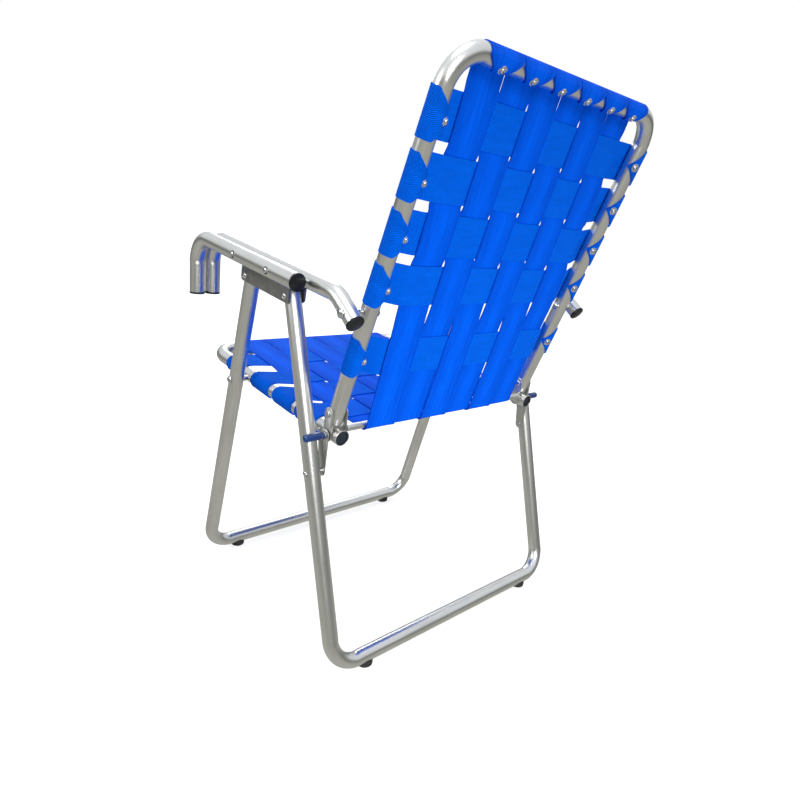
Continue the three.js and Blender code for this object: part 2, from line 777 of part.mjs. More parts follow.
function addWebbing() {
  const rodReach = crossRod.diameter / 2 + gap + strap.thick / 2;
  const fromHinge = rodAxis.clone().sub(hingePivot);
  addField('seat_webbing', {
    origin: seatRear,
    along: seatAway.clone().negate(),
    normal: seatUp,
    start: crossRod.inset,
    startHeight: crossRod.rise - rodReach,
    end: pinReach + link.pinInset + seat.frontReach,
  }, seatStraps);
  addField('back_webbing', {
    origin: hingePivot,
    along: backUp,
    normal: backAhead,
    start: fromHinge.dot(backUp),
    startHeight: fromHinge.dot(backAhead) - rodReach,
    end: back.height,
  }, backStraps);
}

addFrames();
addCrossRod();
for (const [name, side] of Object.entries(sides)) {
  addArm(name, side);
  addBracket(name, side);
  addSeatPivot(name, side);
  addBackPivot(name, side);
  addHinge(name, side);
  addLink(name, side);
  addSeatPlug(name, side);
  addFoot(`foot_front_${name}`, frontBar, side);
  addFoot(`foot_rear_${name}`, rearBar, side);
}
addWebbing();

export default chair;
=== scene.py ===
import json
import math
import bmesh
import bpy
from mathutils import Matrix, Vector


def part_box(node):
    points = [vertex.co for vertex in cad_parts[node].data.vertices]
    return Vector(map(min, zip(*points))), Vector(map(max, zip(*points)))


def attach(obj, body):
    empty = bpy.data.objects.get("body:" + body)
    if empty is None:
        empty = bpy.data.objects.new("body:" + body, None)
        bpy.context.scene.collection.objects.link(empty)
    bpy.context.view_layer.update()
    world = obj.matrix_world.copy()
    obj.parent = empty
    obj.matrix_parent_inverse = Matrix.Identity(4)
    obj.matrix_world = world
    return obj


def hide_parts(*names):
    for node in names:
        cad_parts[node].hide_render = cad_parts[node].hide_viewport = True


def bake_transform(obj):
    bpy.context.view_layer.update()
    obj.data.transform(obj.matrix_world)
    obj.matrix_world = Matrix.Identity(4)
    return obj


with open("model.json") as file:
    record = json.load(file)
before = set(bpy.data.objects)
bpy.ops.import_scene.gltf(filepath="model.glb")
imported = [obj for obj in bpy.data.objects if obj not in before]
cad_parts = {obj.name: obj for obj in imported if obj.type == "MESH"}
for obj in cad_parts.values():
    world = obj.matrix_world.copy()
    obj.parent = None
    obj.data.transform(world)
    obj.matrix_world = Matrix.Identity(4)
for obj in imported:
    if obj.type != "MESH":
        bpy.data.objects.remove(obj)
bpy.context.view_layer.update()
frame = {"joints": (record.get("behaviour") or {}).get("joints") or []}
mm = 0.001              # a millimetre in metres

sides = {"left": 1, "right": -1}
joints = {joint["name"]: Vector(joint["pos_m"]) for joint in frame["joints"]}


def boxCentre(node):
    low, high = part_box(node)
    return (low + high) / 2


def side2d(point):
    return Vector((0, point[1], point[2]))


def heading(degrees):
    angle = math.radians(degrees)
    return Vector((0, math.cos(angle), math.sin(angle)))


def atX(point, x):
    return Vector((x, point.y, point.z))


frontPivot = side2d(joints["arm_left_fold"])
rearPivot = side2d(joints["rear_leg_fold"])
seatPivot = side2d(joints["seat_fold"])
hingePivot = side2d(joints["back_fold"])
linkFoot = side2d(joints["link_left_fold"])
railPin = side2d(boxCentre("rail_rivet_left"))
backPivot = side2d(boxCentre("back_pivot_stud_left"))
rodAxis = side2d(boxCentre("cross_rod"))
rodRadius = (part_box("cross_rod")[1].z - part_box("cross_rod")[0].z) / 2

legLow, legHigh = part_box("front_leg_frame")
railLow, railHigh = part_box("seat_frame")
outerLow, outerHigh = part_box("arm_tube_outer_left")
tubeRadius = (outerHigh.x - outerLow.x) / 2
legX = legHigh.x - tubeRadius
railX = railHigh.x - tubeRadius
outerArmX = (outerLow.x + outerHigh.x) / 2
seatAway = (railPin - seatPivot).normalized()
seatUp = Vector((0, -seatAway.z, seatAway.y))
armScrewFront = side2d(boxCentre("arm_screw_front_left"))
armScrewRear = side2d(boxCentre("arm_screw_rear_left"))
armAway = (armScrewRear - armScrewFront).normalized()
armUp = Vector((0, -armAway.z, armAway.y))
backUp = (backPivot - hingePivot).normalized()
backAhead = Vector((0, -backUp.z, backUp.y))
frontBar = side2d(boxCentre("foot_front_left"))
rearBar = side2d(boxCentre("foot_rear_left"))
frontBar.z = legLow.z + tubeRadius
rearBar.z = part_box("rear_leg_frame")[0].z + tubeRadius
frontLegDown = (frontBar - frontPivot).normalized()
rearLegDown = (rearBar - rearPivot).normalized()

chair = {
    "bore": 11.4 * mm,              # inside radius of every tube
    "legTopRise": 12 * mm,          # leg tube above its pivot
    "railPinInset": 19.4 * mm,      # rail pin to the open end of the seat tube
    "backTail": 13 * mm,            # back tube below the hinge pivot
    "armRearDrop": 30,              # degrees that the inner arm tube turns down at its elbow
    "armRearOverhang": 17 * mm,     # inner arm tube past the back pivot
    "armRearCap": 1.3 * mm,         # outer arm tube's end to the arm's rearmost point
    "fit": 0.3 * mm,                # gap between neighbours
}
seatRear = railPin + seatAway * chair["railPinInset"]
seatFrontReach = (seatPivot.y - railLow.y - tubeRadius) / seatAway.y
seatFront = seatPivot - seatAway * seatFrontReach
backTop = hingePivot + backUp * ((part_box("back_frame")[1].z - tubeRadius - hingePivot.z) / backUp.z)
print("frame points ready")

materials = {}


def meshOf(name, bm):
    mesh = bpy.data.meshes.new(name)
    bm.to_mesh(mesh)
    bm.free()
    return mesh


def finishPiece(name, bm, material, body, nodes, sharp=38, merge=1e-6):
    if merge:
        bmesh.ops.remove_doubles(bm, verts=bm.verts[:], dist=merge)
    bmesh.ops.recalc_face_normals(bm, faces=bm.faces[:])
    for face in bm.faces:
        face.smooth = True
    limit = math.radians(sharp)
    for edge in bm.edges:
        edge.smooth = not (edge.is_manifold and edge.calc_face_angle(0) > limit)
    mesh = meshOf(name, bm)
    for used in material if isinstance(material, (list, tuple)) else [material]:
        mesh.materials.append(materials[used])
    piece = bpy.data.objects.new(name, mesh)
    bpy.context.scene.collection.objects.link(piece)
    if body:
        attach(piece, body)
    if nodes:
        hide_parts(*nodes)
    return piece


def turnTo(direction):
    return direction.to_track_quat("Z", "Y").to_matrix().to_4x4()


def place(bm, verts, centre, direction):
    bmesh.ops.transform(bm, matrix=Matrix.Translation(centre) @ turnTo(direction), verts=verts)


# a turned piece: rows of radius and height from the base, from axis to axis, in mm
def addTurned(bm, rows, centre, direction, steps=36):
    made = [bm.verts.new((radius * mm, 0, height * mm)) for radius, height in rows]
    edges = [bm.edges.new(pair) for pair in zip(made, made[1:])]
    bmesh.ops.spin(
        bm, geom=made + edges, cent=(0, 0, 0), axis=(0, 0, 1), dvec=(0, 0, 0),
        angle=math.tau, steps=steps, use_merge=True, use_normal_flip=False, use_duplicate=False)
    verts = [v for v in made if v.is_valid]
    seen = set(verts)
    for vert in verts:              # the list grows until the whole piece is in it
        for edge in vert.link_edges:
            other = edge.other_vert(vert)
            if other not in seen:
                seen.add(other)
                verts.append(other)
    bmesh.ops.remove_doubles(bm, verts=verts, dist=1e-7)
    place(bm, [v for v in verts if v.is_valid], centre, direction)


def bevelAll(bm, edges, offset, segments=2):
    bmesh.ops.bevel(
        bm, geom=edges, offset=offset, offset_type="OFFSET", segments=segments,
        profile=0.5, affect="EDGES", clamp_overlap=True, material=-1)


tubeLook = {
    "sides": 36,
    "bendStep": 5,          # degrees between rings in a bend
    "leads": (9, 4),        # mm from a bend to the rings before and after it
    "flatten": 0.07,        # share of the radius lost inside a bend
    "bulge": 0.35,          # share of that loss pushed out at the sides
    "dent": 0.085,          # small dents where the bending shoe stopped
    "dentAt": 0.06,         # share of the bend from its end to the dent
    "dentSpan": 0.07,
    "leadDent": 0.5,        # share of the dent left just outside the bend
    "leadSpan": 5,          # mm over which it fades
    "rim": 0.35,            # mm of rounding on an open end
    "depth": 26,            # mm of bore that can be seen
    # scale and mm outward of the rings that close a pinched end
    "roundTip": ((0.985, 1.2), (0.93, 2.6), (0.82, 3.8), (0.62, 4.7), (0.32, 5.2)),
}


def bentStations(corners, bends):
    stations = []           # point, tangent, inward, share of the bend
    for index, corner in enumerate(corners):
        if index in (0, len(corners) - 1):
            ahead = corners[1] - corner if index == 0 else corner - corners[index - 1]
            stations.append((corner, ahead.normalized(), None, 0))
            continue
        incoming = (corner - corners[index - 1]).normalized()
        outgoing = (corners[index + 1] - corner).normalized()
        turn = incoming.angle(outgoing)
        inward = (outgoing - incoming * outgoing.dot(incoming)).normalized()
        radius = bends[index]
        start = corner - incoming * (radius * math.tan(turn / 2))
        steps = max(4, round(math.degrees(turn) / tubeLook["bendStep"]))
        for lead in tubeLook["leads"]:
            stations.append((start - incoming * (lead * mm), incoming, inward, -lead))
        for step in range(steps + 1):
            angle = turn * step / steps
            ahead, across = radius * math.sin(angle), radius * (1 - math.cos(angle))
            point = start + incoming * ahead + inward * across
            tangent = incoming * math.cos(angle) + inward * math.sin(angle)
            side = inward * math.cos(angle) - incoming * math.sin(angle)
            stations.append((point, tangent, side, step / steps))
        end, side = stations[-1][0], stations[-1][2]
        for lead in reversed(tubeLook["leads"]):
            stations.append((end + outgoing * (lead * mm), outgoing, side, 1 + lead))
    return stations


# share of the radius lost on the inside of a bend; outside 0 to 1 the share counts mm of straight tube
def bendLoss(share):
    if share == 0:
        return 0
    if 0 < share <= 1:
        middle = math.sin(math.pi * share) ** 0.5
        nearStart = (share - tubeLook["dentAt"]) / tubeLook["dentSpan"]
        nearEnd = (share - 1 + tubeLook["dentAt"]) / tubeLook["dentSpan"]
        ends = math.exp(-nearStart ** 2) + math.exp(-nearEnd ** 2)
        return tubeLook["flatten"] * middle + tubeLook["dent"] * ends
    lead = -share if share < 0 else share - 1
    return tubeLook["dent"] * tubeLook["leadDent"] * math.exp(-(lead / tubeLook["leadSpan"]) ** 2)


# grows a ring of edges by one step and gives back the new ring
def growRing(bm, edges):
    grown = bmesh.ops.extrude_edge_only(bm, edges=edges)["geom"]
    ring = [g for g in grown if isinstance(g, bmesh.types.BMVert)]
    inRing = set(ring)
    return ring, [g for g in grown if isinstance(g, bmesh.types.BMEdge) and inRing.issuperset(g.verts)]


# closes a tube's end with a rim and a bore, or with a pinched round tip
def closeEnd(bm, edges, centre, outward, roundEnd):
    rimStart = 1 - tubeLook["rim"] * mm / tubeRadius
    bore = chair["bore"] / tubeRadius
    openEnd = ((rimStart, 0.3), (1 - (1 - bore) * 0.75, 0.3), (bore, 0), (bore, -tubeLook["depth"]))
    scaleNow, outNow = 1, 0
    for scaleTo, outTo in tubeLook["roundTip"] if roundEnd else openEnd:
        ring, edges = growRing(bm, edges)
        before = Matrix.Translation(-(centre + outward * outNow * mm))
        after = Matrix.Translation(centre + outward * outTo * mm)
        bmesh.ops.transform(bm, matrix=after @ Matrix.Scale(scaleTo / scaleNow, 4) @ before, verts=ring)
        scaleNow, outNow = scaleTo, outTo
    bmesh.ops.edgeloop_fill(bm, edges=edges, mat_nr=0, use_smooth=False)


def makeTube(name, corners, bends, body, nodes, roundEnds=False):
    bends = bends if isinstance(bends, (list, tuple)) else [bends] * len(corners)
    stations = bentStations(corners, bends)
    first, last = stations[0], stations[-1]
    bm = bmesh.new()
    skin = bm.verts.layers.float_vector.new("skin")     # place round the tube, and distance along it
    ring = bmesh.ops.create_circle(bm, cap_ends=False, segments=tubeLook["sides"], radius=tubeRadius)["verts"]
    for vert in ring:
        vert[skin] = (vert.co.x, vert.co.y, 0)
    place(bm, ring, first[0], first[1])
    firstEdges = edges = bm.edges[:]
    dents = []
    travelled = 0
    for before, after in zip(stations, stations[1:]):
        ring, edges = growRing(bm, edges)
        turn = before[1].rotation_difference(after[1]).to_matrix().to_4x4()
        move = Matrix.Translation(after[0]) @ turn @ Matrix.Translation(-before[0])
        bmesh.ops.transform(bm, matrix=move, verts=ring)
        travelled += (after[0] - before[0]).length
        for vert in ring:
            vert[skin].z = travelled
            if after[2] is not None:
                out = (vert.co - after[0]).normalized()
                facing = out.dot(after[2])
                loss = bendLoss(after[3]) * tubeRadius
                amount = loss * tubeLook["bulge"] * (1 - facing * facing) - loss * max(0, facing) ** 2
                dents.append((vert, out * amount))
    closeEnd(bm, firstEdges, first[0], -first[1], roundEnds)
    closeEnd(bm, edges, last[0], last[1], roundEnds)
    for vert, shift in dents:       # the rings follow each other undented, and take their dents last
        vert.co += shift
    return finishPiece(name, bm, "tubeMetal", body, nodes)


def newMaterial(name, shader):
    material = bpy.data.materials.new(name)
    material.use_nodes = True
    nodes, links = material.node_tree.nodes, material.node_tree.links
    bsdf = nodes["Principled BSDF"]
    for socket, value in shader.items():
        bsdf.inputs[socket].default_value = value
    materials[name] = material
    return nodes, links, bsdf


def mathNode(nodes, links, operation, first, second=None, third=None):
    node = nodes.new("ShaderNodeMath")
    node.operation = operation
    for index, value in enumerate((first, second, third)):
        if value is None:
            continue
        if isinstance(value, (int, float)):
            node.inputs[index].default_value = value
        else:
            links.new(value, node.inputs[index])
    return node.outputs[0]


def rampNode(nodes, links, source, stops):
    node = nodes.new("ShaderNodeValToRGB")
    while len(node.color_ramp.elements) < len(stops):
        node.color_ramp.elements.new(0.5)
    for element, (position, colour) in zip(node.color_ramp.elements, stops):
        element.position = position
        element.color = (*colour, 1)
    links.new(source, node.inputs[0])
    return node.outputs[0]


def grey(value):
    return (value, value, value)


def noiseNode(nodes, links, vector, scale, detail=3, rough=0.55):
    node = nodes.new("ShaderNodeTexNoise")
    node.inputs["Scale"].default_value = scale
    node.inputs["Detail"].default_value = detail
    node.inputs["Roughness"].default_value = rough
    links.new(vector, node.inputs["Vector"])
    return node.outputs["Fac"]


def stretched(nodes, links, vector, scale):
    node = nodes.new("ShaderNodeMapping")
    node.inputs["Scale"].default_value = scale
    links.new(vector, node.inputs["Vector"])
    return node.outputs[0]


def bumpInto(nodes, links, bsdf, height, strength, distance):
    node = nodes.new("ShaderNodeBump")
    node.inputs["Strength"].default_value = strength
    node.inputs["Distance"].default_value = distance
    links.new(height, node.inputs["Height"])
    links.new(node.outputs[0], bsdf.inputs["Normal"])


tubeFinish = {
    "light": (0.88, 0.88, 0.85), "dull": (0.66, 0.66, 0.635),
    "smooth": 0.26, "rough": 0.38, "lineDepth": 0.00003,
}


# drawn aluminium: fine lines run along the tube, and clouds dull it in places
def makeTubeMetal():
    nodes, links, bsdf = newMaterial("tubeMetal", {"Metallic": 1.0})
    attribute = nodes.new("ShaderNodeAttribute")
    attribute.attribute_name = "skin"
    skin = attribute.outputs["Vector"]
    lines = noiseNode(nodes, links, stretched(nodes, links, skin, (900, 900, 9)), 1, 4, 0.6)
    clouds = noiseNode(nodes, links, stretched(nodes, links, skin, (60, 60, 14)), 1, 3, 0.5)
    specks = noiseNode(nodes, links, skin, 2600, 2, 0.5)
    dulling = mathNode(nodes, links, "MULTIPLY", clouds, 0.45)
    mixed = mathNode(nodes, links, "MULTIPLY_ADD", lines, 0.55, dulling)
    colour = rampNode(nodes, links, mixed, [(0.30, tubeFinish["dull"]), (0.62, tubeFinish["light"])])
    links.new(colour, bsdf.inputs["Base Color"])
    rough = nodes.new("ShaderNodeMapRange")
    rough.inputs["From Min"].default_value = 0.3
    rough.inputs["From Max"].default_value = 0.7
    rough.inputs["To Min"].default_value = tubeFinish["rough"]
    rough.inputs["To Max"].default_value = tubeFinish["smooth"]
    links.new(mixed, rough.inputs["Value"])
    links.new(rough.outputs[0], bsdf.inputs["Roughness"])
    height = mathNode(nodes, links, "MULTIPLY_ADD", specks, 0.3, lines)
    bumpInto(nodes, links, bsdf, height, 0.35, tubeFinish["lineDepth"])


# sheet and bar metal with a fine grain
def makeMetal(name, dull, light, smooth, rough, scale, depth):
    nodes, links, bsdf = newMaterial(name, {"Metallic": 1.0})
    where = nodes.new("ShaderNodeTexCoord").outputs["Object"]
    grain = noiseNode(nodes, links, stretched(nodes, links, where, (1, 0.25, 1)), scale, 4, 0.6)
    clouds = noiseNode(nodes, links, where, scale * 0.08, 3, 0.5)
    clouded = mathNode(nodes, links, "MULTIPLY", clouds, 0.5)
    mixed = mathNode(nodes, links, "MULTIPLY_ADD", grain, 0.5, clouded)
    links.new(rampNode(nodes, links, mixed, [(0.32, dull), (0.64, light)]), bsdf.inputs["Base Color"])
    gloss = rampNode(nodes, links, mixed, [(0.3, grey(rough)), (0.7, grey(smooth))])
    links.new(gloss, bsdf.inputs["Roughness"])
    bumpInto(nodes, links, bsdf, grain, 0.4, depth)


# moulded plastic, rubber and vinyl
def makePlain(name, dark, light, smooth, rough, scale, depth, shader):
    nodes, links, bsdf = newMaterial(name, shader)
    where = nodes.new("ShaderNodeTexCoord").outputs["Object"]
    grain = noiseNode(nodes, links, where, scale, 3, 0.6)
    clouds = noiseNode(nodes, links, where, scale * 0.06, 3, 0.5)
    links.new(rampNode(nodes, links, clouds, [(0.35, dark), (0.68, light)]), bsdf.inputs["Base Color"])
    gloss = rampNode(nodes, links, clouds, [(0.3, grey(rough)), (0.7, grey(smooth))])
    links.new(gloss, bsdf.inputs["Roughness"])
    bumpInto(nodes, links, bsdf, grain, 0.5, depth)


webLook = {
    "shade": (0.000, 0.022, 0.20),
    "base": (0.000, 0.082, 0.74),
    "lit": (0.000, 0.17, 0.98),
    "width": 57 * mm,
    "roughness": 0.62,
    "specular": 0.03,
    "crossPitch": 2.7 * mm,     # herringbone lines of the cross straps
    "crossPicks": 0.95 * mm,
    "crossLean": 1.15,          # rise of the lines across one of the three bands
    "crossDrift": 0.9 * mm,     # how far the lines wander
    "crossDepth": 0.5 * mm,
    "longPitch": 1.9 * mm,      # cords of the long straps
    "longPicks": 1.3 * mm,
    "longDepth": 0.3 * mm,
}


# what both webs share: the shader, the strap's own map, and the ways along and across it
def startWeb(name):
    shader = {"Roughness": webLook["roughness"], "Specular IOR Level": webLook["specular"]}
    nodes, links, bsdf = newMaterial(name, shader)
    uv = nodes.new("ShaderNodeUVMap")
    uv.uv_map = "strapMap"
    split = nodes.new("ShaderNodeSeparateXYZ")
    links.new(uv.outputs[0], split.inputs[0])
    return nodes, links, bsdf, uv.outputs[0], split.outputs[0], split.outputs[1]


def waves(nodes, links, way, pitch):
    return mathNode(nodes, links, "SINE", mathNode(nodes, links, "MULTIPLY", way, math.tau / pitch))


def finishWeb(nodes, links, bsdf, uv, shade, stops, fine, strength, depth):
    stops = list(zip(stops, (webLook["shade"], webLook["base"], webLook["lit"])))
    links.new(rampNode(nodes, links, shade, stops), bsdf.inputs["Base Color"])
    fuzz = noiseNode(nodes, links, uv, 2200, 2)
    height = mathNode(nodes, links, "MULTIPLY_ADD", fuzz, 0.25, fine)
    bumpInto(nodes, links, bsdf, height, strength, depth)


# herringbone in three bands, whose lines lean in turn
def makeCrossWeb():
    nodes, links, bsdf, uv, along, across = startWeb("crossWeb")
    third = webLook["width"] / 3
    fold = mathNode(nodes, links, "PINGPONG", mathNode(nodes, links, "DIVIDE", across, third), 1.0)
    lean = mathNode(nodes, links, "MULTIPLY", fold, third * webLook["crossLean"])
    drift = mathNode(nodes, links, "MULTIPLY", noiseNode(nodes, links, uv, 90, 2), webLook["crossDrift"])
    leaning = mathNode(nodes, links, "ADD", mathNode(nodes, links, "ADD", along, lean), drift)
    lines = waves(nodes, links, leaning, webLook["crossPitch"])
    rib = mathNode(nodes, links, "MULTIPLY_ADD", lines, 0.5, 0.5)
    picks = waves(nodes, links, across, webLook["crossPicks"])
    fine = mathNode(nodes, links, "MULTIPLY_ADD", picks, 0.18, rib)
    tone = noiseNode(nodes, links, stretched(nodes, links, uv, (1, 5, 1)), 28, 3)
    woven = mathNode(nodes, links, "MULTIPLY", fine, 0.75)
    shade = mathNode(nodes, links, "MULTIPLY_ADD", tone, 0.25, woven)
    finishWeb(nodes, links, bsdf, uv, shade, (0.12, 0.36, 0.72), fine, 0.9, webLook["crossDepth"])


# smooth cords that run the length of the strap, with a painted highlight along its middle
def makeLongWeb():
    nodes, links, bsdf, uv, along, across = startWeb("longWeb")
    cords = waves(nodes, links, across, webLook["longPitch"])
    rib = mathNode(nodes, links, "MULTIPLY_ADD", cords, 0.5, 0.5)
    picks = waves(nodes, links, along, webLook["longPicks"])
    fine = mathNode(nodes, links, "MULTIPLY_ADD", picks, 0.16, rib)
    tone = noiseNode(nodes, links, stretched(nodes, links, uv, (0.6, 7, 1)), 30, 3)
    # painted highlight: the strap is lighter along its middle and darker towards its edges
    half = webLook["width"] / 2
    offset = mathNode(nodes, links, "ABSOLUTE", mathNode(nodes, links, "SUBTRACT", across, half))
    centre = mathNode(nodes, links, "SUBTRACT", 1.0, mathNode(nodes, links, "DIVIDE", offset, half))
    woven = mathNode(nodes, links, "MULTIPLY", fine, 0.3)
    mottled = mathNode(nodes, links, "MULTIPLY_ADD", tone, 0.24, woven)
    shade = mathNode(nodes, links, "MULTIPLY_ADD", centre, 0.12, mottled)
    finishWeb(nodes, links, bsdf, uv, shade, (0.10, 0.32, 0.70), fine, 0.7, webLook["longDepth"])


makeTubeMetal()
# name, dull and light colour, smoothest and roughest, grain scale and depth
# the arm bracket's sheet aluminium, coloured far darker than the hinge plates as painted shade under the arm
makeMetal("plateMetal", (0.20, 0.20, 0.20), (0.42, 0.42, 0.41), 0.30, 0.44, 900, 0.04 * mm)
makeMetal("hingeMetal", (0.50, 0.50, 0.49), (0.74, 0.74, 0.72), 0.28, 0.42, 900, 0.04 * mm)
# near-black metal for the disc of painted shadow round each arm screw's head
makeMetal("screwShadowMetal", (0.02, 0.02, 0.02), (0.06, 0.06, 0.058), 0.4, 0.6, 900, 0.04 * mm)
makeMetal("steelMetal", (0.55, 0.56, 0.57), (0.80, 0.81, 0.82), 0.16, 0.32, 1400, 0.02 * mm)
makeMetal("rodMetal", (0.66, 0.66, 0.65), (0.86, 0.86, 0.85), 0.30, 0.42, 1100, 0.03 * mm)
softGloss = {"Specular IOR Level": 0.3}
vinylCoat = {"Coat Weight": 0.4, "Coat Roughness": 0.08}
makePlain("blackPlastic", (0.004, 0.005, 0.006), (0.012, 0.013, 0.016), 0.26, 0.40, 1500, 0.05 * mm, softGloss)
makePlain("footRubber", (0.010, 0.010, 0.010), (0.030, 0.030, 0.031), 0.55, 0.75, 1200, 0.12 * mm, {})
makePlain("sleeveVinyl", (0.001, 0.010, 0.065), (0.002, 0.035, 0.17), 0.08, 0.2, 500, 0.04 * mm, vinylCoat)
makePlain("plugPlastic", (0.008, 0.012, 0.018), (0.020, 0.027, 0.038), 0.34, 0.5, 1300, 0.05 * mm, softGloss)
makeCrossWeb()
makeLongWeb()
print("materials ready")

bendRadius = {"frame": 45 * mm, "hook": 42 * mm, "elbow": 50 * mm}


def uCorners(halfWidth, end, corner):
    return [atX(end, halfWidth), atX(corner, halfWidth), atX(corner, -halfWidth), atX(end, -halfWidth)]


makeTube("frontLegTube", uCorners(legX, frontPivot - frontLegDown * chair["legTopRise"], frontBar),
         bendRadius["frame"], "front_legs", ["front_leg_frame"])
makeTube("rearLegTube", uCorners(legX, rearPivot - rearLegDown * chair["legTopRise"], rearBar),
         bendRadius["frame"], "rear_legs", ["rear_leg_frame"])
makeTube("seatTube", uCorners(railX, seatRear, seatFront), bendRadius["frame"], "seat", ["seat_frame"])
makeTube("backTube", uCorners(railX, hingePivot - backUp * chair["backTail"], backTop),
         bendRadius["frame"], "back", ["back_frame"], roundEnds=True)

hookY = outerLow.y + tubeRadius
armLine = armScrewFront
hookCorner = armLine + armAway * ((hookY - armLine.y) / armAway.y)
hookTip = atX(hookCorner, 0)
hookTip.z = outerLow.z
outerRear = armLine + armAway * ((outerHigh.y - armLine.y) / armAway.y - chair["armRearCap"])
armRearDown = heading(math.degrees(math.atan2(armAway.z, armAway.y)) - chair["armRearDrop"])
below = (armLine - backPivot).dot(armUp)
elbow = backPivot - armRearDown * (below / math.sin(math.radians(chair["armRearDrop"])))
innerRear = backPivot + armRearDown * chair["armRearOverhang"]
down = Vector((0, 0, -1))

for name, side in sides.items():
    body = "arm_" + name
    outer = [atX(p, side * outerArmX) for p in (hookTip, hookCorner, outerRear)]
    inner = [atX(p, side * legX) for p in (hookTip, hookCorner, elbow, innerRear)]
    makeTube("outerArmTube_" + name, outer, bendRadius["hook"], body, ["arm_tube_outer_" + name])
    makeTube("innerArmTube_" + name, inner, [0, bendRadius["hook"], bendRadius["elbow"], 0], body,
             ["arm_tube_inner_" + name])
print("tubes ready")

radiusMm = tubeRadius / mm
capPlug = [(0, -7), (11, -7), (11, 0.4)]
capRows = {
    "thin": capPlug + [
        (radiusMm + 0.1, 0.4), (radiusMm + 0.25, 0.7), (radiusMm + 0.25, 2.6), (radiusMm - 0.3, 3.3),
        (9, 3.6), (5, 3.7), (0, 3.7)],
    "domed": capPlug + [
        (radiusMm + 0.2, 0.4), (radiusMm + 0.7, 0.9), (radiusMm + 0.7, 2.6), (radiusMm + 0.3, 3.4),
        (radiusMm - 0.8, 3.9), (radiusMm - 1.8, 3.9), (9.4, 4.3), (6, 4.9), (3, 5.2), (0, 5.3)],
}
armEnds = (
    ("front_outer", hookTip, down, outerArmX, "thin"),
    ("front_inner", hookTip, down, legX, "thin"),
    ("rear_outer", outerRear, armAway, outerArmX, "domed"),
    ("rear_inner", innerRear, armRearDown, legX, "domed"))
for name, side in sides.items():
    for spot, point, direction, x, kind in armEnds:
        bm = bmesh.new()
        addTurned(bm, capRows[kind], atX(point, side * x), direction, 40)
        finishPiece(f"armCap_{spot}_{name}", bm, "blackPlastic", "arm_" + name,
                    [f"arm_cap_{spot}_{name}"])

headRows = {
    "rivet": [(5, 0), (5, 0.35), (4.4, 1.2), (3.4, 1.75), (2.6, 1.9), (2.1, 1.6), (1.7, 1.1), (0, 1.0)],
    "bolt": [(6.4, 0), (6.4, 0.7), (5.7, 1.9), (4.2, 2.9), (2.2, 3.4), (0, 3.5)],
    "flat": [(5, 0), (5, 0.3), (4.5, 0.9), (3.5, 1.2), (0, 1.2)],
    "none": [(0, 0)],
}


# a steel shank from one x to another, with a head on each end
def makeFastener(name, point, xStart, xEnd, shank, heads, body, nodes):
    length = abs(xEnd - xStart) / mm
    rows = [(radius, -height) for radius, height in reversed(headRows[heads[0]])]
    rows += [(shank, 0), (shank, length)]
    rows += [(radius, length + height) for radius, height in headRows[heads[1]]]
    bm = bmesh.new()
    addTurned(bm, rows, atX(point, xStart), Vector((math.copysign(1, xEnd - xStart), 0, 0)), 32)
    finishPiece(name, bm, "steelMetal", body, nodes)


plateGap = {"wall": 2.0 * mm, "plate": 1.6 * mm, "head": 1.5 * mm, "link": 1.8 * mm}
fit = chair["fit"]
bracketOuter = legX + tubeRadius + fit + plateGap["wall"]
bracketInner = legX - tubeRadius - fit - plateGap["wall"]
hingeOuter = railX + tubeRadius + fit + plateGap["plate"]
hingeInner = railX - tubeRadius - fit - plateGap["plate"]
spacerRows = [(3.3, 0.2), (4.6, 0.2), (4.9, 0.5), (4.9, 8.4), (4.6, 8.7), (3.3, 8.7), (3.3, 0.2)]


# the bolt between arm and back, whose neck is as long as the arm tube is wide
def makeBackPivotBolt(name, side):
    collar = (legX - railX) / mm
    neck = 2 * radiusMm + 0.4
    rows = [(0, -3.8), (2.4, -3.7), (4.6, -3.1), (6.3, -1.9), (7, -0.6), (7, 0), (3, 0), (3, neck),
            (4.8, neck), (4.8, collar - 0.3), (0, collar - 0.3)]
    bm = bmesh.new()
    addTurned(bm, rows, atX(backPivot, side * (legX + tubeRadius + fit)), Vector((-side, 0, 0)), 32)
    finishPiece(f"backPivotBolt_{name}", bm, "steelMetal", "arm_" + name,
                [f"back_pivot_bolt_{name}"])


for name, side in sides.items():
    for spot, point in (("front", frontPivot), ("rear", rearPivot)):
        makeFastener(f"legRivet_{spot}_{name}", point, side * bracketInner, side * bracketOuter, 2.5,
                     ("rivet", "rivet"), "arm_" + name, [f"leg_rivet_{spot}_{name}"])
    makeFastener(f"seatBolt_{name}", seatPivot, side * (railX - tubeRadius), side * (legX + tubeRadius), 3,
                 ("bolt", "bolt"), "front_legs", [f"seat_bolt_{name}"])
    makeFastener(f"backPivotStud_{name}", backPivot, side * (railX + tubeRadius - fit),
                 side * (railX - tubeRadius), 3, ("none", "bolt"), "back", [f"back_pivot_stud_{name}"])
    makeBackPivotBolt(name, side)
    makeFastener(f"hingeRivet_{name}", hingePivot, side * hingeInner, side * hingeOuter, 2.5,
                 ("flat", "flat"), "seat", [f"hinge_rivet_{name}"])
    makeFastener(f"railRivet_{name}", railPin, side * (hingeOuter + 0.2 * mm), side * hingeInner, 3,
                 ("none", "rivet"), "seat", [f"rail_rivet_{name}"])
    bm = bmesh.new()
    addTurned(bm, spacerRows, atX(seatPivot, side * (railX + tubeRadius)), Vector((side, 0, 0)), 28)
    finishPiece(f"seatSpacer_{name}", bm, "steelMetal", "front_legs", [f"seat_spacer_{name}"])
print("fasteners ready")

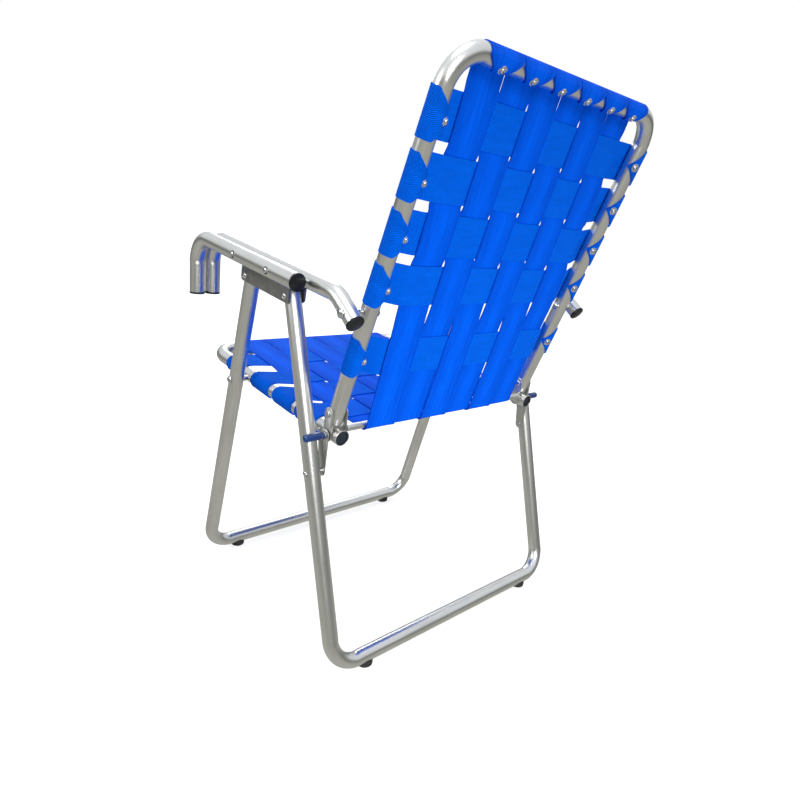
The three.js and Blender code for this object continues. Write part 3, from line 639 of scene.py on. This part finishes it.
plateLook = {
    "edge": 0.45 * mm,
    "halfWidth": 10 * mm,       # hinge plates
    "hingeFoot": 1 * mm,        # rail pin to the centre of a hinge plate's lower end
    "linkTop": 9 * mm,          # radii of the link plate's two ends
    "linkFoot": 8 * mm,
    "linkBrow": 17 * mm,        # reach of the link plate's blunt front
    "browFall": 0.6,            # share that its front falls away
    "browTip": 0.9,             # share of the reach where the tip begins
    "browLift": 3.6 * mm,
}
bracketLook = {"past": 12, "drop": 8.7, "lap": 8, "web": 2, "corner": 7 * mm, "edge": 0.4 * mm}
nearZero = 1e-8


# gives a flat face its thickness along x
def thicken(bm, face, thick):
    grown = bmesh.ops.extrude_face_region(bm, geom=[face], use_keep_orig=True)["geom"]
    lifted = [g for g in grown if isinstance(g, bmesh.types.BMVert)]
    bmesh.ops.translate(bm, vec=(thick, 0, 0), verts=lifted)
    return lifted


def softenRims(bm, edge, segments):
    bmesh.ops.recalc_face_normals(bm, faces=bm.faces[:])
    rims = [e for e in bm.edges if e.is_manifold and e.calc_face_angle(0) > math.radians(60)]
    bevelAll(bm, rims, edge, segments)


# a flat slab from its corners; two of them may be rounded
def addSlab(bm, corners, x, thick, rounded=()):
    verts = [bm.verts.new(atX(point, x)) for point in corners]
    lifted = thicken(bm, bm.faces.new(verts), thick)
    posts = [e for i in rounded for e in verts[i].link_edges if e.other_vert(verts[i]) in lifted]
    if posts:
        bevelAll(bm, posts, bracketLook["corner"], 6)


def armPoint(along, up):
    return frontPivot + armAway * (along * mm) + armUp * (up * mm)


# the bracket is a channel: an outer wall that laps up beside the arm, an inner wall, and the web between
def makeBracket(name, side):
    webTop = (armLine - frontPivot).dot(armUp) / mm - radiusMm - 0.3
    front = -bracketLook["past"]
    rear = (rearPivot - frontPivot).length / mm + bracketLook["past"]
    wall = side * plateGap["wall"]

    def corners(top, bottom):
        return [armPoint(front, top), armPoint(rear, top), armPoint(rear, bottom), armPoint(front, bottom)]

    bm = bmesh.new()
    lapTop = webTop + radiusMm + 0.3 + bracketLook["lap"]
    addSlab(bm, corners(lapTop, -bracketLook["drop"]), side * bracketOuter - wall, wall, (2, 3))
    addSlab(bm, corners(webTop - 1, -bracketLook["drop"]), side * bracketInner, wall, (2, 3))
    webWidth = bracketOuter - bracketInner - plateGap["wall"] / 2
    addSlab(bm, corners(webTop, webTop - bracketLook["web"]), side * bracketInner, side * webWidth)
    softenRims(bm, bracketLook["edge"], 2)
    # the bracket takes the darkened plate metal: painted shade under the arm tubes
    finishPiece(f"armBracket_{name}", bm, "plateMetal", "arm_" + name, [f"arm_bracket_{name}"])


# a hinge plate has two round ends of the same width
def makeHingePlate(spot, name, side, x):
    bm = bmesh.new()
    foot = railPin - backUp * plateLook["hingeFoot"]
    axis = (hingePivot - foot).normalized()
    verts = bmesh.ops.create_circle(bm, cap_ends=True, segments=48, radius=plateLook["halfWidth"])["verts"]
    for vert in verts:
        if vert.co.y < -nearZero:
            vert.co.y -= (hingePivot - foot).length
    outward = Vector((1, 0, 0))
    basis = Matrix((outward.cross(axis), axis, outward)).transposed().to_4x4()
    bmesh.ops.transform(bm, matrix=Matrix.Translation(atX(hingePivot, side * x)) @ basis, verts=verts)
    thicken(bm, verts[0].link_faces[0], side * plateGap["plate"])
    softenRims(bm, plateLook["edge"], 3)
    finishPiece(f"hingePlate_{spot}_{name}", bm, "hingeMetal", "seat",
                [f"hinge_plate_{spot}_{name}"])


# the link plate has a round end at each pin and a blunt front beside the upper one
def makeLinkPlate(name, side, x):
    bm = bmesh.new()
    top, fall, lift = plateLook["linkTop"], plateLook["browFall"], plateLook["browLift"]
    footShare, browShare = plateLook["linkFoot"] / top, plateLook["linkBrow"] / top
    verts = bmesh.ops.create_circle(bm, cap_ends=True, segments=48, radius=top)["verts"]
    drop = linkFoot - railPin
    for vert in verts:                      # the disc's x becomes the chair's y
        y, z = vert.co.x, vert.co.y
        if z < -nearZero:
            y, z = y * footShare + drop.y, z * footShare + drop.z
        elif y < -nearZero:
            lean = -y / top
            y *= browShare
            z = max(z, top * (1 - fall * lean)) if lean < plateLook["browTip"] else z + lift
        vert.co = (side * x, railPin.y + y, railPin.z + z)
    thicken(bm, verts[0].link_faces[0], side * plateGap["link"])
    softenRims(bm, plateLook["edge"], 3)
    finishPiece(f"linkPlate_{name}", bm, "hingeMetal", "link_" + name, [f"link_plate_{name}"])


pinRows = [(0, -1.4), (3, -1.4), (3, 0.2), (4.5, 0.2), (4.5, 1.2), (3, 1.2), (3, 31), (0, 31)]
sleeveRows = [
    (3.2, 1.6), (4.9, 1.6), (5.5, 2.1), (5.8, 3), (5.8, 32), (5.5, 34), (4.6, 35.2), (3, 36), (1.4, 36.4),
    (0, 36.5), (0, 33), (3.2, 33), (3.2, 1.6)]
plugRows = [
    (0, -9), (11.1, -9), (11.1, -1.4), (10.4, -0.9), (9.4, -1.0), (8.8, -2.4), (3.2, -2.8), (2.4, -1.9),
    (1.4, -1.3), (0, -1.2)]


def makeStopPin(name, side, x):
    for piece, rows, steps, material, slot in (("stopPin", pinRows, 28, "steelMetal", "steel"),
                                               ("stopSleeve", sleeveRows, 36, "sleeveVinyl", "sleeve")):
        bm = bmesh.new()
        addTurned(bm, rows, atX(railPin, side * x), Vector((side, 0, 0)), steps)
        node = {"stopPin": "stop_pin_", "stopSleeve": "stop_sleeve_"}[piece] + name
        finishPiece(f"{piece}_{name}", bm, material, "link_" + name, [node])


def makeLinkRivet(name, side, x):
    legNear, legFar = (legX - tubeRadius - x) / mm, (legX + tubeRadius - x) / mm
    rows = [(0, -3.1), (3.6, -3.1), (4.2, -2.6), (4.2, -2.1), (2.5, -2.1), (2.5, 0.2), (4.5, 0.2)]
    rows += [(4.5, legNear - 0.2), (2.5, legNear - 0.2), (2.5, legFar)]
    rows += [(radius, legFar + height) for radius, height in headRows["rivet"]]
    bm = bmesh.new()
    addTurned(bm, rows, atX(linkFoot, side * x), Vector((side, 0, 0)), 32)
    finishPiece(f"linkRivet_{name}", bm, "steelMetal", "link_" + name, [f"link_rivet_{name}"])


def makeSeatPlug(name, side):
    bm = bmesh.new()
    addTurned(bm, plugRows, atX(seatRear, side * railX), seatAway, 36)
    finishPiece(f"seatPlug_{name}", bm, "plugPlastic", "seat", [f"seat_plug_{name}"])


linkNear = hingeOuter + plateGap["head"] + 2 * fit
linkFar = linkNear + plateGap["link"]
for name, side in sides.items():
    makeBracket(name, side)
    makeHingePlate("outer", name, side, hingeOuter - plateGap["plate"])
    makeHingePlate("inner", name, side, hingeInner)
    makeLinkPlate(name, side, linkNear)
    makeStopPin(name, side, linkFar)
    makeLinkRivet(name, side, linkFar)
    makeSeatPlug(name, side)

bm = bmesh.new()
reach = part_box("cross_rod")[1].x / mm
rodMm = rodRadius / mm
rod = [(0, 0), (rodMm - 0.5, 0), (rodMm, 0.5)]
rod += [(rodMm, 2 * reach - 0.5), (rodMm - 0.5, 2 * reach), (0, 2 * reach)]
addTurned(bm, rod, atX(rodAxis, -reach * mm), Vector((1, 0, 0)), 32)
finishPiece("crossRod", bm, "rodMetal", "seat", ["cross_rod"])
print("plates and links ready")

footLook = {"radius": 13.2, "height": 10.5, "saddle": 0.25 * mm}


# a foot is a turned plug whose top is hollowed to the tube it carries
def makeFoot(name, node, bar, x, body):
    bm = bmesh.new()
    radius, height = footLook["radius"], footLook["height"]
    rows = [(0, 0), (radius - 3.4, 0), (radius - 1.6, 0.5), (radius - 0.5, 1.6), (radius, 3.2), (radius, 8.6)]
    rows += [(radius - 0.4, height - 0.4), (radius - 1, height)]
    rows += [(radius - 1 - step * 1.2, height) for step in range(1, 10)] + [(0, height)]
    addTurned(bm, rows, Vector((x, bar.y, 0)), Vector((0, 0, 1)), 48)
    keep = tubeRadius + footLook["saddle"]
    for vert in bm.verts:
        offset = vert.co.y - bar.y
        if abs(offset) < keep:
            vert.co.z = min(vert.co.z, bar.z - math.sqrt(keep * keep - offset * offset))
    finishPiece(name, bm, "footRubber", body, [node])


for name, side in sides.items():
    x = boxCentre(f"foot_front_{name}").x
    makeFoot(f"footFront_{name}", f"foot_front_{name}", frontBar, x, "front_legs")
    makeFoot(f"footRear_{name}", f"foot_rear_{name}", rearBar, x, "rear_legs")
print("feet ready")

screwLook = {
    "washer": 6.2,          # radii and rise in mm
    "head": 4.1,
    "rise": 2.3,
    "slot": (4.6, 1.15, 2.8),
    "slotTaper": (0.55, 0.8),
    "sunk": 0.2 * mm,
    # the disc of painted shadow under each arm screw's head sits this far into the tube
    "shadowDiscSunk": 0.35 * mm,
    "shankSunk": 1 * mm,
    "firstTurn": 17,        # each screw stops at another angle
    "sideTurn": 37,
    "barTurn": 41,
}


# a round head with a cross cut into it, on a washer or bare
def crossheadMesh(name, washer):
    edge, head, rise = screwLook["washer"], screwLook["head"], screwLook["rise"]
    base = 1.0 if washer else 0.0
    rows = [(0, -1.2), (edge if washer else head, -1.2)]
    if washer:
        rows += [(edge, 0.5), (edge - 0.4, 0.9), (head + 0.5, 1.0)]
    rows += [(head, base), (head, base + 0.7), (head - 0.5, base + 1.5), (head - 1.3, base + rise - 0.25)]
    rows += [(head - 2.4, base + rise), (0, base + rise)]
    bm = bmesh.new()
    addTurned(bm, rows, Vector((0, 0, 0)), Vector((0, 0, 1)), 32)
    bmesh.ops.recalc_face_normals(bm, faces=bm.faces[:])
    headPiece = bpy.data.objects.new(name, meshOf(name, bm))
    bm = bmesh.new()
    for turn in (0, 90):
        blade = bmesh.ops.create_cube(bm, size=1)["verts"]
        bmesh.ops.scale(bm, vec=Vector(screwLook["slot"]) * mm, verts=blade)
        foot = [v for v in blade if v.co.z < 0]
        bmesh.ops.scale(bm, vec=(*screwLook["slotTaper"], 1), verts=foot)
        bmesh.ops.rotate(bm, cent=(0, 0, 0), matrix=Matrix.Rotation(math.radians(turn), 3, "Z"), verts=blade)
        bmesh.ops.translate(bm, vec=(0, 0, (base + rise) * mm), verts=blade)
    slotPiece = bpy.data.objects.new(name + "Slot", meshOf(name + "Slot", bm))
    for piece in (headPiece, slotPiece):
        bpy.context.scene.collection.objects.link(piece)
    cut = headPiece.modifiers.new("slot", "BOOLEAN")
    cut.operation, cut.object, cut.solver = "DIFFERENCE", slotPiece, "EXACT"
    cut.use_self = True
    bpy.context.view_layer.update()
    finished = headPiece.evaluated_get(bpy.context.evaluated_depsgraph_get())
    result = bpy.data.meshes.new_from_object(finished)
    bpy.data.objects.remove(headPiece)
    bpy.data.objects.remove(slotPiece)
    return result


washerScrew = crossheadMesh("washerScrew", True)
plainScrew = crossheadMesh("plainScrew", False)


def addMesh(bm, mesh, centre, direction, turn=0):
    before = set(bm.verts)
    bm.from_mesh(mesh)
    fresh = [v for v in bm.verts if v not in before]
    bmesh.ops.rotate(bm, cent=(0, 0, 0), matrix=Matrix.Rotation(math.radians(turn), 3, "Z"), verts=fresh)
    place(bm, fresh, centre, direction)


# an arm screw on a dark disc of painted shadow, with a shank that reaches the inner tube
def makeArmScrew(spot, name, side, point, turn):
    outward = Vector((side, 0, 0))
    skinX = outerArmX + tubeRadius
    shank = (skinX - legX) / mm - 8
    # a thin dark disc flush with the tube skin: painted shadow round the screw head
    shadowDisc = [(0, -0.6), (5.6, -0.6), (5.6, 0.1), (4.9, 0.35), (0, 0.35)]
    bm = bmesh.new()
    addMesh(bm, plainScrew, atX(point, side * (skinX - screwLook["sunk"])), outward, turn)
    headFaces = set(bm.faces)
    addTurned(bm, shadowDisc, atX(point, side * (skinX - screwLook["shadowDiscSunk"])), outward, 28)
    for face in bm.faces:
        face.material_index = 0 if face in headFaces else 1
    centre = atX(point, side * (skinX - screwLook["shankSunk"]))
    addTurned(bm, [(0, 0), (2, 0), (2, shank), (0, shank)], centre, -outward, 20)
    finishPiece(f"armScrew_{spot}_{name}", bm, ["steelMetal", "screwShadowMetal"], "arm_" + name,
                [f"arm_screw_{spot}_{name}"], merge=None)


for name, side in sides.items():
    makeArmScrew("front", name, side, armScrewFront, 20)
    makeArmScrew("rear", name, side, armScrewRear, 60)
print("screws ready")

strap = {
    "thick": 1.25 * mm,
    "lift": 0.15 * mm,        # clearance from a tube
    "weave": 0.68 * mm,       # half the step between crossing straps
    "weaveEase": 14 * mm,     # run over which a strap's last crossing fades
    "longCross": 1 * mm,      # a long strap stays level this far past the strap it crosses
    "crossHold": 26.5 * mm,   # half the run that a cross strap stays level
    "longWiden": 1.028,
    "drift": [0.3, -0.4, 0.5, -0.3, 0.4, -0.2],     # mm that each long strap wanders sideways
    "cup": 0.6 * mm,          # edges lean away from the strap they cross
    "pinch": 0.03,            # the long straps draw together at the cross rod
    "pinchReach": 80 * mm,
    "blendReach": 60 * mm,    # length of long strap that turns with the fold
    "flatHalf": 178.5 * mm,   # half the flat field, from the middle to the rails' slope
    "softBend": 12 * mm,
    "tip": 1.2 * mm,          # half the width left at a folded point
    "foldEase": 8,            # degrees over which a fold's second layer comes up
    # degrees round the tube where each edge is folded in to the point, and where the screw is
    "folds": {
        "right": {"upper": 135, "lower": 135, "screw": 205},
        "left": {"upper": 128, "lower": 163, "screw": 216},
        "bar": {"upper": 176, "lower": 152, "screw": 220},
    },
    # mm across the chair, and along the seat and back fields
    "longX": [150, 90, 30, -30, -90, -150],
    "seatCross": [313, 224, 151.5, 83],
    "backCross": [422.5, 351.5, 280.5, 209.5, 100],
    "rows": 8,
}
halfStrap = webLook["width"] / 2
wrapRadius = tubeRadius + strap["lift"] + strap["thick"] / 2
rodWrap = rodRadius + strap["lift"] + strap["thick"] / 2


def ease(share):
    share = min(1, max(0, share))
    return share * share * (3 - 2 * share)


# height of a strap above its mid line as it crosses others: marks are centre, sign, half length
def weaveHeight(at, marks):
    before = [m for m in marks if m[0] <= at]
    after = [m for m in marks if m[0] > at]
    low = before[-1] if before else None
    high = after[0] if after else None
    lowEnd = low[0] + low[2] if low else high[0] - high[2] - strap["weaveEase"]
    highEnd = high[0] - high[2] if high else low[0] + low[2] + strap["weaveEase"]
    lowSign, highSign = (low[1] if low else 0), (high[1] if high else 0)
    if at <= lowEnd:
        return lowSign
    if at >= highEnd:
        return highSign
    return lowSign + (highSign - lowSign) * ease((at - lowEnd) / max(1e-9, highEnd - lowEnd))


# a flat closed strap: columns along it, rows across; each vertex keeps its column number
def flatStrap(bm, columns, rows):
    station = bm.verts.layers.int.new("station")
    across = bm.verts.layers.float.new("across")
    grid = bmesh.ops.create_grid(bm, x_segments=columns - 1, y_segments=rows, size=0.5)["verts"]
    for vert in grid:
        vert[station] = round((vert.co.x + 0.5) * (columns - 1))
        vert[across] = vert.co.y * 2
    grown = bmesh.ops.extrude_face_region(bm, geom=bm.faces[:], use_keep_orig=True)["geom"]
    raised = {g for g in grown if isinstance(g, bmesh.types.BMVert)}
    return station, across, raised


def strapMap(bm, lengths, station, across):
    layer = bm.loops.layers.uv.new("strapMap")
    for face in bm.faces:
        for loop in face.loops:
            vert = loop.vert
            loop[layer].uv = (lengths[vert[station]], (vert[across] + 1) * halfStrap)


# where the folded end comes to its point: wrap angle, and place across the strap
def foldTip(fold):
    late = math.radians(fold["lower"] - fold["upper"]) * wrapRadius
    angle = fold["upper"] + math.degrees((halfStrap + late / 2) / wrapRadius)
    return angle, -late / 2


# the strap's two edges and its layers of cloth at a wrap angle
def foldEdges(fold, angle):
    middle = foldTip(fold)[1]
    blunt = strap["tip"]
    top = halfStrap - max(0, math.radians(angle - fold["upper"]) * wrapRadius)
    bottom = -halfStrap + max(0, math.radians(angle - fold["lower"]) * wrapRadius)
    top, bottom = max(top, middle + blunt), min(bottom, middle - blunt)
    layers = 1 + ease((angle - min(fold["upper"], fold["lower"])) / strap["foldEase"])
    return bottom, top, layers


fullWidth = (-halfStrap, halfStrap, 1)


# the long straps' course over the seat's front bar, behind the cross rod and over the back's top bar
def longPath():
    wheels = [(seatFront, wrapRadius, -1), (rodAxis, rodWrap, 1), (backTop, wrapRadius, -1)]
    spans = []              # angle of each straight run
    for (centreA, radiusA, turnA), (centreB, radiusB, turnB) in zip(wheels, wheels[1:]):
        offset = Vector((centreB.y - centreA.y, centreB.z - centreA.z))
        cross = math.asin((turnB * radiusB - turnA * radiusA) / offset.length)
        spans.append(math.atan2(offset.y, offset.x) - cross)
    points = []             # point, upper normal, edges and layers
    fold = strap["folds"]["bar"]
    tipAngle = foldTip(fold)[0]

    def arc(wheel, start, end, steps, angles=None):
        centre, radius, turn = wheel
        for step in range(steps + 1):
            gamma = start + (end - start) * step / steps
            normal = Vector((0, -math.sin(gamma), math.cos(gamma)))
            edges = fullWidth
            if angles:
                edges = foldEdges(fold, angles[0] + (angles[1] - angles[0]) * step / steps)
            points.append((centre - normal * (radius * turn), normal, edges))

    seatAxis = math.atan2(seatAway.z, seatAway.y)
    backAxis = math.atan2(backUp.z, backUp.y)
    first = math.radians(tipAngle) + seatAxis
    last = backAxis - math.radians(tipAngle)
    arc(wheels[0], first, spans[0], 26, (tipAngle, math.degrees(spans[0] - seatAxis)))
    arc(wheels[1], spans[0], spans[1], 10)
    arc(wheels[2], spans[1], last, 26, (math.degrees(backAxis - spans[1]), tipAngle))
    full = []               # the same with the straight runs filled
    for current, following in zip(points, points[1:]):
        full.append(current)
        run = (following[0] - current[0]).length
        if run > 20 * mm:
            count = round(run / (4 * mm))
            for step in range(1, count):
                between = current[0].lerp(following[0], step / count)
                full.append((between, current[1], fullWidth))
    full.append(points[-1])
    return full


def pathLengths(points):
    lengths = [0]
    for a, b in zip(points, points[1:]):
        lengths.append(lengths[-1] + (b[0] - a[0]).length)
    return lengths


longStations = longPath()
longLengths = pathLengths(longStations)


def nearestLength(point):
    best = min(range(len(longStations)), key=lambda i: (longStations[i][0] - point).length)
    return longLengths[best]


def crossSign(number, strapIndex):      # number from the front of the seat, or the top of the back
    return 1 if (number + strapIndex) % 2 else -1


def fieldHeight(field, along):
    low, high = field["start"], field["end"]
    share = (along - low[0]) / (high[0] - low[0])
    return low[1] + share * (high[1] - low[1])


def makeField(origin, along, normal, endPoint):
    toRod = rodAxis - origin
    return {
        "origin": origin, "along": along, "normal": normal,
        "start": (toRod.dot(along), toRod.dot(normal) - rodWrap),
        "end": ((endPoint - origin).dot(along), wrapRadius),
    }


seatField = makeField(seatRear, -seatAway, seatUp, seatFront)
backField = makeField(hingePivot, backUp, backAhead, backTop)


def crossCentre(field, along):
    return field["origin"] + field["along"] * along + field["normal"] * fieldHeight(field, along)


def makeLongStrap(index):
    x = strap["longX"][index] * mm
    number = index + 1
    marks = []
    for order, distance in enumerate(strap["seatCross"]):
        at = nearestLength(crossCentre(seatField, distance * mm))
        marks.append((at, -crossSign(order + 1, number), halfStrap + strap["longCross"]))
    for order, distance in enumerate(strap["backCross"]):
        at = nearestLength(crossCentre(backField, distance * mm))
        marks.append((at, crossSign(order + 1, number), halfStrap + strap["longCross"]))
    marks.sort()
    bm = bmesh.new()
    station, across, raised = flatStrap(bm, len(longStations), strap["rows"])
    strapMap(bm, longLengths, station, across)
    for vert in bm.verts:
        point, normal, (low, high, layers) = longStations[vert[station]]
        side = vert[across]
        level = weaveHeight(longLengths[vert[station]], marks)
        lean = abs(side) ** 6 * strap["cup"]
        lift = level * (strap["weave"] + lean)
        thick = strap["thick"] * layers
        # the extra layer stands outside the wrap
        lift += thick - strap["thick"] / 2 if vert in raised else -strap["thick"] / 2
        fromRod = (point - rodAxis).length / strap["pinchReach"]
        gather = 1 - strap["pinch"] * math.exp(-fromRod * fromRod)
        wide = ((low + high) / 2 + side * (high - low) / 2) * strap["longWiden"]
        wide += strap["drift"][index] * mm
        vert.co = point + normal * lift + Vector((x * gather + wide, 0, 0))
    piece = finishPiece(f"longStrap{number}", bm, "longWeb", None, [], sharp=55, merge=None)
    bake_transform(piece)


# half of a cross strap's course from the middle out: x, height, normal angle, width share, layers
def crossCourse(height, fold):
    soft = strap["softBend"]
    start = strap["flatHalf"] - 2 * mm
    bendX = start + soft / 2
    run = railX - bendX
    rise = math.asin(wrapRadius / math.hypot(run, height)) - math.atan2(height, run)
    slope = math.tan(rise)
    flatSteps, softSteps, runSteps, wrapSteps = 74, 10, 4, 34
    course = [(start * step / flatSteps, height, 0.0, fullWidth) for step in range(flatSteps)]
    for step in range(softSteps):
        bent = soft * step / softSteps
        bentHeight = height + slope * bent * bent / (2 * soft)
        course.append((start + bent, bentHeight, math.atan(slope * bent / soft), fullWidth))
    reach = railX - wrapRadius * math.sin(rise) - (start + soft)
    for step in range(runSteps):
        x = start + soft + reach * step / runSteps
        course.append((x, height + slope * (x - bendX), rise, fullWidth))
    first, last = -math.degrees(rise), foldTip(fold)[0]
    for step in range(wrapSteps + 1):
        angle = first + (last - first) * step / wrapSteps
        radians = math.radians(angle)
        course.append((railX + wrapRadius * math.sin(radians), wrapRadius * math.cos(radians), -radians,
                       foldEdges(fold, angle)))
    return course


def makeCrossStrap(name, field, distance, number, body, flip, nodes):
    rows = strap["rows"]
    courses = {}
    for row in range(rows + 1):
        offset = (row / rows * 2 - 1) * halfStrap
        height = fieldHeight(field, distance * mm + offset)
        left = crossCourse(height, strap["folds"]["left"])
        right = crossCourse(height, strap["folds"]["right"])
        courses[row] = [(-x, h, -a, edges) for x, h, a, edges in reversed(right[1:])] + left
    middle = courses[rows // 2]
    lengths = [0]
    for a, b in zip(middle, middle[1:]):
        lengths.append(lengths[-1] + math.hypot(b[0] - a[0], b[1] - a[1]))
    marks = sorted((x * mm, flip * crossSign(number, i + 1), strap["crossHold"])
                   for i, x in enumerate(strap["longX"]))
    bm = bmesh.new()
    station, across, raised = flatStrap(bm, len(middle), rows)
    strapMap(bm, lengths, station, across)
    for vert in bm.verts:
        side = vert[across]
        x, height, angle, (low, high, layers) = courses[round((side + 1) / 2 * rows)][vert[station]]
        level = weaveHeight(x, marks)
        lift = level * strap["weave"]
        lift += strap["thick"] * (layers - 0.5) if vert in raised else -strap["thick"] / 2
        outX, outH = -math.sin(angle), math.cos(angle)
        wide = (low + high) / 2 + side * (high - low) / 2
        point = field["origin"] + field["along"] * (distance * mm + wide)
        vert.co = point + field["normal"] * (height + outH * lift) + Vector((x + outX * lift, 0, 0))
    piece = finishPiece(name, bm, "crossWeb", body, nodes, sharp=55, merge=None)


for order, distance in enumerate(strap["seatCross"]):
    nodes = ["seat_webbing"] if order == 0 else []
    makeCrossStrap(f"seatStrap{order + 1}", seatField, distance, order + 1, "seat", 1, nodes)
for order, distance in enumerate(strap["backCross"]):
    nodes = ["back_webbing"] if order == 0 else []
    makeCrossStrap(f"backStrap{order + 1}", backField, distance, order + 1, "back", -1, nodes)
for index in range(len(strap["longX"])):
    makeLongStrap(index)


# a screw stands on the folded end, which is two layers thick
def screwOnWrap(bm, axisPoint, outward, turn):
    centre = axisPoint + outward * (wrapRadius + strap["thick"] * 1.5 - screwLook["sunk"])
    addMesh(bm, washerScrew, centre, outward, turn)


def addFieldScrews(bm, field, crosses, bar):
    turn = screwLook["firstTurn"]
    for distance in crosses:
        for name, side in sides.items():
            fold = strap["folds"][name]
            angle = math.radians(fold["screw"])
            outward = field["normal"] * math.cos(angle) + Vector((side * math.sin(angle), 0, 0))
            middle = distance * mm + foldTip(fold)[1]
            axisPoint = atX(field["origin"] + field["along"] * middle, side * railX)
            screwOnWrap(bm, axisPoint, outward, turn)
            turn += screwLook["sideTurn"]
    for x in strap["longX"]:
        fold = strap["folds"]["bar"]
        angle = math.radians(fold["screw"])
        outward = field["normal"] * math.cos(angle) + field["along"] * math.sin(angle)
        screwOnWrap(bm, atX(bar, x * mm + foldTip(fold)[1]), outward, turn)
        turn += screwLook["barTurn"]


strapScrews = (
    ("seatStrapScrews", seatField, strap["seatCross"], seatFront, "seat"),
    ("backStrapScrews", backField, strap["backCross"], backTop, "back"))
for name, field, crosses, bar, body in strapScrews:
    bm = bmesh.new()
    addFieldScrews(bm, field, crosses, bar)
    finishPiece(name, bm, "steelMetal", body, [], merge=None)
print("webbing ready")

shot = {
    "at": (0.7438, 0.7986, 0.6881),
    "azimuth": 136.46,      # degrees
    "pitch": 17.06,
    "roll": 6.42,
    "lens": 27.53,          # mm, on a sensor 36 mm wide
    "sensor": 36,
    "clip": (0.01, 100),
}


def makeCamera():
    azimuth, pitch, roll = (math.radians(shot[key]) for key in ("azimuth", "pitch", "roll"))
    flat = math.cos(pitch)
    look = Vector((-math.sin(azimuth) * flat, math.cos(azimuth) * flat, -math.sin(pitch)))
    level = Vector((look.y, -look.x, 0)).normalized()
    over = level.cross(look)
    right = level * math.cos(roll) + over * math.sin(roll)
    up = over * math.cos(roll) - level * math.sin(roll)
    data = bpy.data.cameras.new("chairCamera")
    data.lens, data.sensor_width = shot["lens"], shot["sensor"]
    data.clip_start, data.clip_end = shot["clip"]
    camera = bpy.data.objects.new("chairCamera", data)
    camera.matrix_world = Matrix.Translation(shot["at"]) @ Matrix((right, up, -look)).transposed().to_4x4()
    bpy.context.scene.collection.objects.link(camera)
    bpy.context.scene.camera = camera


studio = {"radius": 24, "floorTone": 0.62, "floorGlow": 0.62, "wallTone": 0.0, "wallGlow": 1.0}


def makeStagePiece(name, bm, tone, glow):
    shader = {"Roughness": 0.9, "Specular IOR Level": 0.0}
    shader.update({"Emission Color": (1, 1, 1, 1), "Emission Strength": glow})
    nodes, links, bsdf = newMaterial(name + "Paint", shader)
    where = nodes.new("ShaderNodeTexCoord").outputs["Object"]
    stops = [(0.3, grey(tone * 0.98)), (0.7, grey(tone))]
    links.new(rampNode(nodes, links, noiseNode(nodes, links, where, 3, 2), stops), bsdf.inputs["Base Color"])
    mesh = meshOf(name, bm)
    mesh.materials.append(materials[name + "Paint"])
    piece = bpy.data.objects.new(name, mesh)
    bpy.context.scene.collection.objects.link(piece)
    return piece


# the floor and wall glow for the camera alone, so that the metal mirrors only the sky and the lamps
def makeStage():
    bm = bmesh.new()
    bmesh.ops.create_circle(bm, cap_ends=True, segments=96, radius=studio["radius"])
    floor = makeStagePiece("studioFloor", bm, studio["floorTone"], studio["floorGlow"])
    floor.visible_glossy = floor.visible_diffuse = False
    bm = bmesh.new()
    bmesh.ops.create_uvsphere(bm, u_segments=48, v_segments=24, radius=studio["radius"])
    wall = makeStagePiece("studioWall", bm, studio["wallTone"], studio["wallGlow"])
    wall.visible_glossy = wall.visible_diffuse = wall.visible_shadow = False


# name, place, aim, size, power, colour
lights = [
    ("keyPanel", (1.5, 2.4, 1.5), (0, 0.2, 0.35), 1.2, 30, (1.0, 0.985, 0.96)),
    ("topPanel", (0.6, 0.2, 3.2), (0, 0, 0.5), 1.2, 26, (1.0, 0.99, 0.98)),
    ("sidePanel", (3.0, -0.8, 1.6), (0, 0, 0.4), 0.9, 26, (1.0, 0.99, 0.97)),
    ("frontPanel", (-1.6, -2.6, 2.2), (0, 0, 0.4), 1.4, 22, (0.93, 0.96, 1.0)),
    ("groundGlow", (0.1, 0.85, 0.03), (0, 0.12, 0.42), 0.5, 9, (1.0, 1.0, 1.0)),
]
# height of the sky from straight down to straight up, and its colour
sky = [
    (0.0, (0.46, 0.46, 0.43)), (0.38, (0.36, 0.36, 0.33)), (0.49, (0.07, 0.075, 0.07)),
    (0.56, (0.16, 0.17, 0.17)), (0.64, (0.70, 0.72, 0.74)), (1.0, (0.80, 0.84, 0.90))]


def makeLights():
    for name, at, aim, size, power, colour in lights:
        data = bpy.data.lights.new(name, "AREA")
        data.shape, data.size, data.energy, data.color = "DISK", size, power, colour
        lamp = bpy.data.objects.new(name, data)
        lamp.location = at
        lamp.rotation_mode = "QUATERNION"
        lamp.rotation_quaternion = (Vector(aim) - Vector(at)).to_track_quat("-Z", "Y")
        lamp.visible_camera = False
        lamp.visible_glossy = name != "groundGlow"
        bpy.context.scene.collection.objects.link(lamp)
    world = bpy.data.worlds.new("studioSky")
    bpy.context.scene.world = world
    world.use_nodes = True
    nodes, links = world.node_tree.nodes, world.node_tree.links
    split = nodes.new("ShaderNodeSeparateXYZ")
    links.new(nodes.new("ShaderNodeTexCoord").outputs["Generated"], split.inputs[0])
    height = mathNode(nodes, links, "MULTIPLY_ADD", split.outputs[2], 0.5, 0.5)
    links.new(rampNode(nodes, links, height, sky), nodes["Background"].inputs[0])
    nodes["Background"].inputs[1].default_value = 1.0
    bpy.context.scene.view_settings.view_transform = "Standard"


makeCamera()
makeStage()
makeLights()
print("camera and lights ready")
